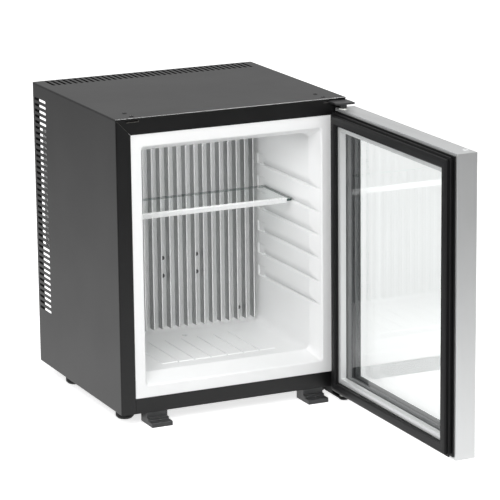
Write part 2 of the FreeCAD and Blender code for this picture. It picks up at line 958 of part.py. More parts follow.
def lower_hinge_plate():
    x0 = pivot_x - hinge_eye
    x1 = pivot_x + hinge_eye
    low = lower_plate_low
    high = lower_plate_high
    back = front + sheet + lower_flange_length
    eye = upright(pivot_x, pivot_y, low, high, hinge_eye)
    arm = box(x0, x1, pivot_y, front + sheet + hinge_plate, low, high)
    web = box(x0, x1, front + sheet, front + sheet + hinge_plate, low, bottom)
    flange = box(x0, x1, front + sheet, back, bottom - hinge_plate, bottom)
    return less(join([eye, arm, web, flange]), [lower_hinge_pin(), lower_hinge_screws()])


def lower_hinge_pin():
    pin = upright(pivot_x, pivot_y, lower_plate_low, door_low + bush_length - bush_play, pin_radius)
    boss = upright(pivot_x, pivot_y, lower_plate_low - boss_height, lower_plate_low, boss_radius)
    middle = lower_plate_low - boss_height / 2
    rim = [edge for edge in boss.Edges if edge.CenterOfMass.z < middle and edge.Closed]
    boss = boss.makeFillet(boss_height / 2, rim[:1])
    return pin.fuse(boss).removeSplitter()


def lower_hinge_screws():
    shapes = []
    for back_by in lower_screw_backs:
        start = Vector(pivot_x, front + back_by, bottom - hinge_plate)
        shapes.append(screw(start, Vector(0, 0, 1), hinge_plate + sheet + screw_head_radius))
    return Part.makeCompound(shapes)


def shelf_glass():
    y1 = groove_back - shelf_stop_gap
    return box(-shelf_half, shelf_half, glass_front, y1, shelf_low, shelf_low + glass_thick)


def shelf_trim():
    reach = shelf_half - trim_end_gap
    low = shelf_low - trim_cover
    high = shelf_low + glass_thick + trim_cover
    bar = box(-reach, reach, trim_front, trim_front + trim_depth, low, high)
    return bar.cut(shelf_glass())


# One mitred length of a door profile.
# Profile points are (from the door's outer edge, from its inner face outwards).
def door_length(profile, side):
    wide = 2 * door_half
    tall = door_high - door_low
    outline = []
    if side in ("top", "bottom"):
        edge = door_high if side == "top" else door_low
        inward = -1 if side == "top" else 1
        for inset, out in profile:
            outline.append(Vector(-door_half, door_inner - out, edge + inward * inset))
        solid = prism(outline, Vector(wide, 0, 0))
        near, far = edge, edge + inward * mitre_reach
        reach = door_half - mitre_reach
        corners = [(-door_half, near), (door_half, near), (reach, far), (-reach, far)]
    else:
        edge = door_half if side == "hinge" else -door_half
        inward = -1 if side == "hinge" else 1
        for inset, out in profile:
            outline.append(Vector(edge + inward * inset, door_inner - out, door_low))
        solid = prism(outline, Vector(0, 0, tall))
        near, far = edge, edge + inward * mitre_reach
        low = door_low + mitre_reach
        high = door_high - mitre_reach
        corners = [(near, door_low), (near, door_high), (far, high), (far, low)]
    start = door_outer - door_thick
    wedge = prism([Vector(x, start, z) for x, z in corners], Vector(0, 3 * door_thick, 0))
    return solid.common(wedge)


def door_ring(profile):
    return [door_length(profile, side) for side in ("top", "bottom", "hinge", "free")]


def pane_depths():
    depths = []
    depth = pane_setback
    for index in range(3):
        depths.append(depth)
        depth += glass_thick + pane_gap
    return depths


def door_frame(side):
    dart_end = dart_from_edge + dart_width
    profile = [
        (0, 0),
        (dart_from_edge - dart_fit, 0),
        (dart_from_edge - dart_fit, dart_depth + dart_fit),
        (dart_end + dart_fit, dart_depth + dart_fit),
        (dart_end + dart_fit, 0),
        (frame_rebate, 0),
        (frame_rebate, door_thick - frame_lip_thick),
        (frame_lip, door_thick - frame_lip_thick),
        (frame_lip, door_thick),
        (0, door_thick),
    ]
    chamber = chamber_profile(0.0)
    solid = door_length(profile, side).cut(door_length(chamber, side))
    return less(solid, [bush_hole(door_high, -1), bush_hole(door_low, 1), door_top_plug()])


def chamber_profile(fit):
    near = frame_wall + fit
    far = frame_rebate - frame_wall - fit
    low = chamber_floor + fit
    high = door_thick - frame_wall - fit
    return [(near, low), (far, low), (far, high), (near, high)]


def bush_hole(edge, into):
    start = Vector(pivot_x, pivot_y, edge - into * bush_length)
    end = Vector(pivot_x, pivot_y, edge + into * bush_length)
    return rod(start, end, bush_radius)


# L-shaped keys that sit in the chambers at the four mitred corners.
def door_corner_keys():
    ring = chamber_profile(key_fit)
    lengths = door_ring(ring)
    keys = []
    for side in (-1, 1):
        for edge, into in ((door_low, 1), (door_high, -1)):
            x0 = side * door_half
            z0 = edge
            x1 = x0 - side * key_leg
            z1 = z0 + into * key_leg
            zone = box(min(x0, x1), max(x0, x1), door_outer, door_inner, min(z0, z1), max(z0, z1))
            parts = [length.common(zone) for length in lengths]
            key = join([part for part in parts if part.Volume > 1.0])
            keys.append(less(key, [bush_hole(door_high, -1), bush_hole(door_low, 1), door_top_plug()]))
    return Part.makeCompound(keys)


# A flat-headed plug pressed into the door's top edge near its free corner.
def door_top_plug():
    x = -door_half + plug_from_edge
    y = door_inner - plug_depth
    head = upright(x, y, door_high, door_high + plug_height, plug_radius)
    stem = upright(x, y, door_high - plug_stem, door_high, plug_stem_radius)
    return head.fuse(stem).removeSplitter()


def pane(index):
    depth = pane_depths()[index]
    inset = frame_rebate + pane_edge_gap
    y1 = door_inner - depth
    reach = door_half - inset
    return box(-reach, reach, y1 - glass_thick, y1, door_low + inset, door_high - inset)


def pane_spacer(index):
    near = pane_depths()[index] + glass_thick
    far = near + pane_gap
    profile = [(gasket_inner, near), (bead_inner, near), (bead_inner, far), (gasket_inner, far)]
    return Part.makeCompound(door_ring(profile))


# The bead's thin foot runs under the gasket to the rebate and its raised part frames the glass.
def glazing_bead():
    foot_edge_inset = frame_rebate + bead_gap
    raised = gasket_inner + bead_gap
    profile = [
        (foot_edge_inset, 0),
        (raised, 0),
        (raised, -bead_raise),
        (bead_inner, -bead_raise),
        (bead_inner, bead_base),
        (foot_edge_inset, bead_base),
    ]
    return Part.makeCompound(door_ring(profile))


def setting_blocks():
    inset = frame_rebate
    y1 = door_inner - pane_setback
    y0 = door_inner - door_thick + frame_lip_thick
    shapes = []
    for side in (-1, 1):
        x = side * (door_half - setting_block_inset)
        reach = setting_block_length / 2
        shapes.append(box(x - reach, x + reach, y0, y1, door_low + inset, door_low + inset + pane_edge_gap))
    return Part.makeCompound(shapes)


# The outer band follows a circle round the pivot, so that it clears the cabinet while the door swings.
def door_gasket():
    dart_end = dart_from_edge + dart_width
    swing = pivot_ahead - gasket_gap
    pivot_depth = swing - gasket_depth
    rib = gasket_foot + gasket_groove + gasket_rib
    profile = [
        (gasket_foot_edge, 0),
        (gasket_foot_edge, -gasket_foot),
        (gasket_neck, -gasket_foot),
        (gasket_neck, -gasket_foot - gasket_groove),
        (gasket_edge, -rib),
    ]
    for share in gasket_slope_shares:
        aside = share * (gasket_face - gasket_edge)
        profile.append((gasket_face - aside, pivot_depth - (swing ** 2 - aside ** 2) ** 0.5))
    profile += [
        (gasket_face, -gasket_depth),
        (gasket_inner - gasket_chamfer_run, -gasket_depth),
        (gasket_inner, -gasket_depth + gasket_chamfer_drop),
        (gasket_inner, 0),
        (dart_end, 0),
        (dart_end, dart_depth),
        (dart_from_edge, dart_depth),
        (dart_from_edge, 0),
    ]
    ring = join(door_ring(profile))
    return less(ring, [magnet_strips(), bush_hole(door_high, -1), bush_hole(door_low, 1)])


def magnet_strips():
    near = gasket_face
    far = near + magnet_width
    face = -gasket_depth + magnet_cover
    profile = [(near, face), (far, face), (far, face + magnet_thick), (near, face + magnet_thick)]
    return Part.makeCompound(door_ring(profile))


def door_bush(edge, into):
    axis = Vector(0, 0, into)
    centre = Vector(pivot_x, pivot_y, edge)
    barrel = Part.makeCylinder(bush_radius, bush_length, centre, axis)
    flange = Part.makeCylinder(bush_flange_radius, bush_flange, centre, axis * -1)
    bore = Part.makeCylinder(pin_radius + pin_fit, 3 * bush_length, centre - axis * bush_length, axis)
    return barrel.fuse(flange).cut(bore).removeSplitter()


def door_parts():
    shapes = {}
    for side, name in (("top", "top"), ("bottom", "bottom"), ("hinge", "hinge_side"), ("free", "free_side")):
        shapes["door_frame_" + name] = door_frame(side)
    shapes["door_corner_keys"] = door_corner_keys()
    for index, name in enumerate(("inner", "middle", "outer")):
        shapes[name + "_glass"] = pane(index)
    for index, name in enumerate(("inner", "outer")):
        shapes[name + "_spacer"] = pane_spacer(index)
    shapes["glazing_bead"] = glazing_bead()
    shapes["setting_blocks"] = setting_blocks()
    shapes["door_gasket"] = door_gasket()
    shapes["magnet_strips"] = magnet_strips()
    shapes["door_top_plug"] = door_top_plug()
    shapes["upper_door_bush"] = door_bush(door_high, -1)
    shapes["lower_door_bush"] = door_bush(door_low, 1)
    for shape in shapes.values():
        shape.rotate(pivot, Vector(0, 0, 1), door_open_angle)
    return shapes


def cabinet_parts():
    right_panel = right_side_panel()
    tab = fixing_tab()
    shapes = {
        "top_panel": top_panel(),
        "left_side_panel": mirrored(right_panel),
        "right_side_panel": right_panel,
        "bottom_panel": bottom_panel(),
        "bottom_front_rail": bottom_front_rail(),
        "insulation_foam": insulation_foam(),
        "rear_skin": rear_skin(),
        "inner_liner": inner_liner(),
        "cold_plate": cold_plate(),
        "cold_plate_screws": plate_screws(),
        "cold_block": cold_block(),
        "thermoelectric_module": thermoelectric_module(),
        "hot_block": hot_block(),
        "heat_pipes": heat_pipes(),
        "left_radiator": radiator(-1),
        "right_radiator": radiator(1),
        "left_radiator_bracket": radiator_bracket(-1),
        "right_radiator_bracket": radiator_bracket(1),
        "module_leads": module_leads(),
        "temperature_sensor": temperature_sensor(),
        "control_box": control_box(),
        "control_board": control_board(),
        "mains_inlet": mains_inlet(),
        "drain_tube": drain_tube(),
        "drip_tray": drip_tray(),
        "left_fixing_tab": mirrored(tab),
        "right_fixing_tab": tab,
        "fixing_tab_screws": fixing_tab_screws(),
        "hinge_backing_plates": hinge_backing_plates(),
        "hinge_screws": hinge_screws(),
        "upper_hinge_plate": upper_hinge_plate(),
        "upper_hinge_pin": upper_hinge_pin(),
        "lower_hinge_plate": lower_hinge_plate(),
        "lower_hinge_pin": lower_hinge_pin(),
        "lower_hinge_screws": lower_hinge_screws(),
    }
    shapes.update(feet())
    return shapes


def shelf_parts():
    return {"shelf_glass": shelf_glass(), "shelf_trim": shelf_trim()}


os.makedirs("parts", exist_ok=True)
all_parts = {}
all_parts.update(cabinet_parts())
all_parts.update(shelf_parts())
all_parts.update(door_parts())
for node, shape in all_parts.items():
    shape.exportStep("parts/" + node + ".step")
    state = "valid" if shape.isValid() else "NOT VALID"
    print(node, len(shape.Solids), "solids", round(shape.Volume / 1000, 2), "cm3", state)
print(len(all_parts), "nodes")
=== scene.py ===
from math import cos, pi, radians, sin

import bpy
import numpy as np
from mathutils import Matrix, Vector


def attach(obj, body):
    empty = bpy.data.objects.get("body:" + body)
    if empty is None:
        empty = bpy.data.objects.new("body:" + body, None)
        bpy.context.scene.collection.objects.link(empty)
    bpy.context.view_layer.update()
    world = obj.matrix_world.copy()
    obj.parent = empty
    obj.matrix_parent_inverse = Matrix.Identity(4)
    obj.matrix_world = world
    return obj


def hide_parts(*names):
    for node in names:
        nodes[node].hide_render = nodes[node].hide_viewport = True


mm = 0.001
even = (1.0, 1.0, 1.0)
white = (1.0, 1.0, 1.0, 1.0)
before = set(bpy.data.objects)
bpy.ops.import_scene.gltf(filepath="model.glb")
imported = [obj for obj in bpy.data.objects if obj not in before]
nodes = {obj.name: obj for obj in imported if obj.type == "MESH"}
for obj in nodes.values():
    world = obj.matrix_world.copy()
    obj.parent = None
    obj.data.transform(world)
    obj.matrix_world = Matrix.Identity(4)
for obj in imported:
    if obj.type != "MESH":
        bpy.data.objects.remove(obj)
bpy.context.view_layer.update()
print("frame loaded:", len(nodes), "nodes")


# Shader trees: arithmetic on a Value adds Math nodes, every other node comes from make
class Value:
    def __init__(self, shades, socket):
        self.shades = shades
        self.socket = socket

    def math(self, operation, first, second):
        return self.shades.make("ShaderNodeMath", {"operation": operation}, {0: first, 1: second})

    def __add__(self, other):
        return self.math("ADD", self, other)

    def __sub__(self, other):
        return self.math("SUBTRACT", self, other)

    def __mul__(self, other):
        return self.math("MULTIPLY", self, other)

    def __rsub__(self, other):
        return self.math("SUBTRACT", other, self)

    __radd__ = __add__
    __rmul__ = __mul__


class Shades:
    def __init__(self, owner):
        owner.use_nodes = True
        self.tree = owner.node_tree
        self.tree.nodes.clear()

    # Settings first, then the values or links of the sockets; gives the wanted output, if there is any
    def make(self, kind, settings, sockets, output=0):
        made = self.tree.nodes.new(kind)
        for key, value in settings.items():
            if key == "stops":
                for stop, (place, level) in zip(made.color_ramp.elements, value):
                    stop.position = place
                    stop.color = (level, level, level, 1.0)
            else:
                setattr(made, key, value)
        for key, value in sockets.items():
            if isinstance(value, Value):
                self.tree.links.new(value.socket, made.inputs[key])
            else:
                made.inputs[key].default_value = value
        return Value(self, made.outputs[output]) if len(made.outputs) else None

    # Noise on the piece's own coordinates, drawn out along the axes where stretch is small
    def noise(self, scale, detail, stretch=even, rough=0.5):
        where = self.make("ShaderNodeTexCoord", {}, {}, "Object")
        spread = self.make("ShaderNodeMapping", {}, {"Vector": where, "Scale": stretch})
        sockets = {"Vector": spread, "Scale": scale, "Detail": detail, "Roughness": rough}
        return self.make("ShaderNodeTexNoise", {}, sockets, "Fac")

    # Grey levels between two stops of (place, level)
    def ramp(self, value, stops):
        return self.make("ShaderNodeValToRGB", {"stops": stops}, {"Fac": value})

    # Colour a share of the way from the first to the second
    def blend(self, share, first, second):
        return self.make("ShaderNodeMix", {"data_type": "RGBA"}, {0: share, 6: first, 7: second}, 2)

    # Normal of a surface raised by height times depth
    def bump(self, height, depth):
        return self.make("ShaderNodeBump", {}, {"Height": height, "Distance": depth, "Strength": 1.0})

    # One for rays of that kind, nought for the others
    def ray(self, kind):
        return self.make("ShaderNodeLightPath", {}, {}, "Is " + kind + " Ray")

    # How far along one axis of the stage's coordinates
    def along(self, coordinates, axis):
        where = self.make("ShaderNodeTexCoord", {}, {}, coordinates)
        return self.make("ShaderNodeSeparateXYZ", {}, {0: where}, axis)

    # From low at start to high at end, and level outside them
    def slope(self, value, start, end, low, high, kind="SMOOTHSTEP"):
        sockets = {"Value": value, "From Min": start, "From Max": end, "To Min": low, "To Max": high}
        return self.make("ShaderNodeMapRange", {"interpolation_type": kind}, sockets)

    # Joins a shader to the output of the tree
    def show(self, shader, kind="ShaderNodeOutputMaterial"):
        self.make(kind, {}, {"Surface": shader})


# A colour times a share, never over full, with no see-through
def tone(colour, share=1.0):
    return tuple(min(1.0, part * share) for part in colour) + (1.0,)


mottle = {"detail": 3.0, "grainRough": 0.6, "stops": [(0.3, 0.0), (0.7, 1.0)], "middle": 0.5}


# One finish: a colour that drifts with a slow noise, streaked by the grain where the recipe says so, a roughness
# that goes up and down with both noises, and the grain as bump. A painted shade attribute blends in a darker second
# colour
def surface(name, recipe):
    material = bpy.data.materials.new(name)
    shades = Shades(material)
    shift, streak, roughShift = recipe["drift"], recipe.get("streak", 0.0), recipe["roughShift"]
    drift = shades.noise(recipe["driftScale"], mottle["detail"])
    grain = shades.noise(recipe["grainScale"], mottle["detail"], recipe.get("stretch", even), mottle["grainRough"])
    mottled = shades.ramp(drift * (1.0 - streak) + grain * streak, mottle["stops"])
    colour = shades.blend(mottled, tone(recipe["colour"], 1.0 - shift), tone(recipe["colour"], 1.0 + shift))
    # Painted shade: a point attribute darkens the colour towards the recipe's second colour, for the shade in grooves
    # and joints
    if "paintedShade" in recipe:
        shadeShare = shades.make("ShaderNodeAttribute", {"attribute_name": "paintedShade"}, {}, "Fac")
        colour = shades.blend(shadeShare, colour, tone(recipe["paintedShade"]))
    middle = mottle["middle"]
    sockets = {
        "Base Color": colour,
        "Roughness": recipe["rough"] + (grain - middle) * roughShift + (drift - middle) * roughShift,
        "Metallic": recipe.get("metal", 0.0),
        "Specular IOR Level": recipe.get("shine", 0.5),
        "Normal": shades.bump(grain, recipe["depth"]),
    }
    shades.show(shades.make("ShaderNodeBsdfPrincipled", {}, sockets))
    return material


finishes = {
    "blackPaint": dict(colour=(0.005, 0.005, 0.0053), drift=0.12, driftScale=9, grainScale=950, rough=0.34,
                       roughShift=0.10, depth=0.00003),
    # whiteLiner's second colour is painted shade, laid into the liner's groove scoops and floor joints
    "whiteLiner": dict(colour=(0.925, 0.93, 0.93), drift=0.012, driftScale=6, grainScale=160, rough=0.30,
                       roughShift=0.05, depth=0.00001, paintedShade=(0.64, 0.65, 0.655)),
    "silverFrame": dict(colour=(0.80, 0.81, 0.81), drift=0.015, driftScale=14, grainScale=900, rough=0.30,
                        roughShift=0.04, depth=0.0000004, metal=0.7, stretch=(1.0, 0.03, 0.03), streak=0.25),
    "silverUpright": dict(colour=(0.80, 0.81, 0.81), drift=0.015, driftScale=14, grainScale=900, rough=0.30,
                          roughShift=0.04, depth=0.0000004, metal=0.7, stretch=(1.0, 1.0, 0.02), streak=0.25),
    "silverBead": dict(colour=(0.82, 0.83, 0.83), drift=0.015, driftScale=14, grainScale=900, rough=0.32,
                       roughShift=0.04, depth=0.0000004, metal=0.4, stretch=(1.0, 0.05, 0.05), streak=0.25),
    "finMetal": dict(colour=(0.94, 0.95, 0.95), drift=0.025, driftScale=20, grainScale=900, rough=0.30,
                     roughShift=0.08, depth=0.0000005, metal=0.20, stretch=(1.0, 1.0, 0.015), streak=0.3),
    # Fin copies of finMetal: darker for painted shade on the flanks, brighter and glossier for painted highlight on
    # the tips
    "finFlankShade": dict(colour=(0.40, 0.405, 0.405), drift=0.05, driftScale=20, grainScale=900, rough=0.34,
                     roughShift=0.08, depth=0.0000005, metal=0.9, stretch=(1.0, 1.0, 0.015), streak=0.3),
    "finTipHighlight": dict(colour=(0.95, 0.955, 0.955), drift=0.02, driftScale=20, grainScale=900, rough=0.26,
                   roughShift=0.06, depth=0.0000005, metal=0.5, stretch=(1.0, 1.0, 0.015), streak=0.3),
    "blackRubber": dict(colour=(0.008, 0.008, 0.0085), drift=0.15, driftScale=25, grainScale=1400, rough=0.46,
                        roughShift=0.10, depth=0.00001, shine=0.28),
    "spacerGrey": dict(colour=(0.10, 0.105, 0.108), drift=0.10, driftScale=30, grainScale=900, rough=0.5,
                       roughShift=0.1, depth=0.00001, metal=0.6, stretch=(1.0, 0.05, 0.05)),
    "blackPlastic": dict(colour=(0.028, 0.028, 0.029), drift=0.12, driftScale=30, grainScale=1300, rough=0.5,
                         roughShift=0.12, depth=0.00003),
    "tabPlastic": dict(colour=(0.042, 0.043, 0.044), drift=0.12, driftScale=30, grainScale=1300, rough=0.42,
                       roughShift=0.12, depth=0.00003),
    # A near-black sheet finish: painted shade, for the sheet that makes the top vents read dark inside
    "ventScreen": dict(colour=(0.004, 0.004, 0.004), drift=0.2, driftScale=300, grainScale=1500, rough=0.92,
                       roughShift=0.05, depth=0.00002, shine=0.05),
    "whiteTrim": dict(colour=(0.80, 0.81, 0.81), drift=0.015, driftScale=12, grainScale=300, rough=0.28,
                      roughShift=0.06, depth=0.000008),
    "blackSteel": dict(colour=(0.022, 0.022, 0.023), drift=0.18, driftScale=40, grainScale=800, rough=0.36,
                       roughShift=0.12, depth=0.00002, shine=0.6),
    # A darker, duller copy of blackSteel: painted shade for the lower hinge parts, which sit in shadow
    "shadeSteel": dict(colour=(0.006, 0.006, 0.0063), drift=0.18, driftScale=40, grainScale=800, rough=0.5,
                       roughShift=0.12, depth=0.00002, shine=0.18),
    "zincSteel": dict(colour=(0.62, 0.63, 0.64), drift=0.10, driftScale=60, grainScale=1200, rough=0.34,
                      roughShift=0.16, depth=0.00001, metal=1.0),
    "zincDark": dict(colour=(0.20, 0.20, 0.205), drift=0.2, driftScale=60, grainScale=1200, rough=0.34,
                     roughShift=0.16, depth=0.00001, metal=1.0),
    "galvanised": dict(colour=(0.56, 0.57, 0.58), drift=0.14, driftScale=45, grainScale=220, rough=0.44,
                       roughShift=0.2, depth=0.00001, metal=1.0),
    "foam": dict(colour=(0.17, 0.165, 0.15), drift=0.12, driftScale=30, grainScale=900, rough=0.9,
                 roughShift=0.1, depth=0.0003),
    "copper": dict(colour=(0.72, 0.38, 0.24), drift=0.16, driftScale=28, grainScale=500, rough=0.30,
                   roughShift=0.2, depth=0.00001, metal=1.0),
    "ceramic": dict(colour=(0.82, 0.82, 0.80), drift=0.03, driftScale=60, grainScale=1500, rough=0.5,
                    roughShift=0.1, depth=0.00001),
    "board": dict(colour=(0.015, 0.12, 0.045), drift=0.3, driftScale=180, grainScale=900, rough=0.35,
                  roughShift=0.1, depth=0.00003),
    "magnet": dict(colour=(0.06, 0.055, 0.05), drift=0.2, driftScale=60, grainScale=1500, rough=0.7,
                   roughShift=0.1, depth=0.00003),
    "nylon": dict(colour=(0.78, 0.78, 0.74), drift=0.04, driftScale=60, grainScale=1200, rough=0.45,
                  roughShift=0.1, depth=0.00001),
    "leadRed": dict(colour=(0.42, 0.03, 0.025), drift=0.1, driftScale=50, grainScale=900, rough=0.4,
                    roughShift=0.1, depth=0.00001),
    "glassEdge": dict(colour=(0.055, 0.085, 0.078), drift=0.35, driftScale=40, grainScale=600, rough=0.12,
                      roughShift=0.1, depth=0.00001, shine=0.6),
}
paints = {name: surface(name, recipe) for name, recipe in finishes.items()}

glass = {
    "tints": {"clearGlass": (0.990, 0.994, 0.993), "shelfClear": (0.972, 0.984, 0.980)},
    "index": 1.5, "mirror": 0.85, "waveScale": 3.0, "waveDetail": 1.0, "waveDepth": 0.00002,
}


# Clear sheet: light goes straight through, and a share of it is mirrored. One face mirrors a share f that grows
# towards a grazing look, the two faces of a pane f times (2 - f), all of it put on the face that is met from outside
def clearGlass(name, tint):
    material = bpy.data.materials.new(name)
    shades = Shades(material)
    normal = shades.bump(shades.noise(glass["waveScale"], glass["waveDetail"]), glass["waveDepth"])
    inside = shades.make("ShaderNodeNewGeometry", {}, {}, "Backfacing")
    single = shades.make("ShaderNodeFresnel", {}, {"IOR": glass["index"], "Normal": normal})
    mirrored = single * (2.0 - single) * (1.0 - inside) * glass["mirror"]
    through = shades.make("ShaderNodeBsdfTransparent", {}, {"Color": tone(tint)})
    gloss = shades.make("ShaderNodeBsdfGlossy", {}, {"Color": white, "Roughness": 0.0, "Normal": normal})
    shades.show(shades.make("ShaderNodeMixShader", {}, {0: mirrored, 1: through, 2: gloss}))
    return material


paints.update({name: clearGlass(name, tint) for name, tint in glass["tints"].items()})
print("finishes:", len(paints))


# Quads between neighbours of a grid of rows by columns, closed round where asked
def gridFaces(rows, columns, roundRows=False, roundColumns=False):
    row = np.arange(rows if roundRows else rows - 1)[:, None]
    column = np.arange(columns if roundColumns else columns - 1)[None, :]
    rowNext = (row + 1) % rows
    columnNext = (column + 1) % columns
    corners = [row * columns + column, row * columns + columnNext, rowNext * columns + columnNext,
               rowNext * columns + column]
    return np.stack([np.broadcast_to(part, corners[0].shape) for part in corners], -1).reshape(-1, 4)


# Puts shells of (points, faces) into one mesh; faces may be arrays or lists of corner numbers
def meshOf(name, shells):
    points, faces, start = [], [], 0
    for shellPoints, shellFaces in shells:
        points.append(np.asarray(shellPoints, float).reshape(-1, 3))
        faces.extend([[int(corner) + start for corner in face] for face in shellFaces])
        start += len(points[-1])
    mesh = bpy.data.meshes.new(name)
    mesh.from_pydata(np.concatenate(points).tolist(), [], faces)
    mesh.polygons.foreach_set("use_smooth", np.ones(len(mesh.polygons), bool))
    mesh.validate()
    mesh.update()
    return mesh


# Puts a mesh into the scene: its finishes, edges left sharp past an angle, its body and what it replaces
def addPiece(name, mesh, body, paint, replaced=(), sharp=40.0):
    piece = bpy.data.objects.new(name, mesh)
    bpy.context.scene.collection.objects.link(piece)
    for each in [paint] if isinstance(paint, str) else paint:
        mesh.materials.append(paints[each])
    if sharp:
        mesh.set_sharp_from_angle(angle=radians(sharp))
    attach(piece, body)
    if replaced:
        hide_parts(*replaced)
    return piece


# Corners within merge (in metres) are one, and an edge is sharp past turn degrees
softening = {"merge": 1e-5, "turn": 35.0, "tiny": 1e-20}


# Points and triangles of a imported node, with the corners that share a place made one
def mergedNode(node):
    source = nodes[node].data
    points = np.empty(len(source.vertices) * 3)
    source.vertices.foreach_get("co", points)
    corners = np.empty(len(source.loops), np.int64)
    source.loops.foreach_get("vertex_index", corners)
    points = points.reshape(-1, 3)
    places = np.round(points / softening["merge"]).astype(np.int64)
    first, back = np.unique(places, axis=0, return_index=True, return_inverse=True)[1:]
    triangles = back.reshape(-1)[corners].reshape(-1, 3)
    a, b, c = triangles.T
    whole = (a != b) & (b != c) & (c != a)
    return points[first], triangles[whole]


# Turn between the two faces of each edge, from the dot product of their normals; the edges come in rising order
def edgeTurns(points, triangles):
    a, b, c = points[triangles].transpose(1, 0, 2)
    normal = np.cross(b - a, c - a)
    normal /= np.maximum(np.linalg.norm(normal, axis=1), softening["tiny"])[:, None]
    sides = np.concatenate([triangles[:, [0, 1]], triangles[:, [1, 2]], triangles[:, [2, 0]]])
    owner = np.tile(np.arange(len(triangles)), 3)
    sides.sort(axis=1)
    order = np.lexsort((sides[:, 1], sides[:, 0]))
    sides, owner = sides[order], owner[order]
    paired = np.flatnonzero((sides[1:] == sides[:-1]).all(1))
    turns = np.degrees(np.arccos(np.clip((normal[owner[paired]] * normal[owner[paired + 1]]).sum(1), -1, 1)))
    return sides[paired], turns


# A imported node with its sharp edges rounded: width for all of them, bendWidth for those that bends picks. Each edge
# of the mesh finds its share of the widest by a number made from its two ends
def rounded(node, body, slotName, paint, width, bends=None, bendWidth=0.0, segments=2):
    points, triangles = mergedNode(node)
    mesh = meshOf(node + "_soft", [(points, triangles)])
    mesh.polygons.foreach_set("use_smooth", np.zeros(len(mesh.polygons), bool))
    edges, turns = edgeTurns(points, triangles)
    sharp = turns > softening["turn"]
    widest = max(width, bendWidth)
    share = np.where(sharp, width / widest, 0.0)
    if bends is not None:
        picked = bends(points[edges[:, 0]] / mm) & bends(points[edges[:, 1]] / mm) & sharp
        share[picked] = bendWidth / widest
    ends = np.empty(len(mesh.edges) * 2, np.int64)
    mesh.edges.foreach_get("vertices", ends)
    ends = np.sort(ends.reshape(-1, 2), axis=1)
    known, wanted = (pair[:, 0] * len(points) + pair[:, 1] for pair in (edges, ends))
    found = np.searchsorted(known, wanted, side="right") - 1
    weight = np.where(known[found] == wanted, share[found], 0.0)
    layer = mesh.attributes.new("bevel_weight_edge", "FLOAT", "EDGE")
    layer.data.foreach_set("value", weight.astype(np.float32))
    piece = addPiece(node + "_soft", mesh, body, paint, [node], sharp=0)
    bevel = piece.modifiers.new("edges", "BEVEL")
    bevel.width = widest * mm
    bevel.segments = segments
    bevel.limit_method = "WEIGHT"
    bevel.use_clamp_overlap = False
    return piece


# Soft step: with t the clipped share of the way from start to end, three t squared less two t cubed
def smooth(value, start, end):
    share = np.clip((value - start) / (end - start), 0.0, 1.0)
    return share * share * (3.0 - 2.0 * share)


# One inside a span and nought outside it, with a soft step of that half width at both ends
def within(value, span, soft):
    start, end = span
    return smooth(value, start - soft, start + soft) * (1 - smooth(value, end - soft, end + soft))


# Painted casing, with the bends of the sheet rounder than its cut edges
casing = {"edge": 0.0, "bend": 1.6, "steps": 3, "railEdge": 0.3, "near": 0.05,
          "front": 9.0, "rear": 369.0, "top": 500.0, "side": 200.0}


# Corners on a bend: at the front or the rear, and out at the sheet's own level along an axis
def onBend(point, axis, level):
    near = casing["near"]
    ends = (abs(point[:, 1] - casing["front"]) < near) | (abs(point[:, 1] - casing["rear"]) < near)
    return ends & (abs(abs(point[:, axis]) - level) < near)


def topBend(point):
    return onBend(point, 2, casing["top"])


def sideBend(point):
    return onBend(point, 0, casing["side"])


for node, bends in (("top_panel", topBend), ("left_side_panel", sideBend), ("right_side_panel", sideBend)):
    rounded(node, "cabinet", "black_paint", "blackPaint", casing["edge"], bends, casing["bend"], casing["steps"])
rounded("bottom_front_rail", "cabinet", "black_paint", "blackPaint", casing["railEdge"])
print("casing done")

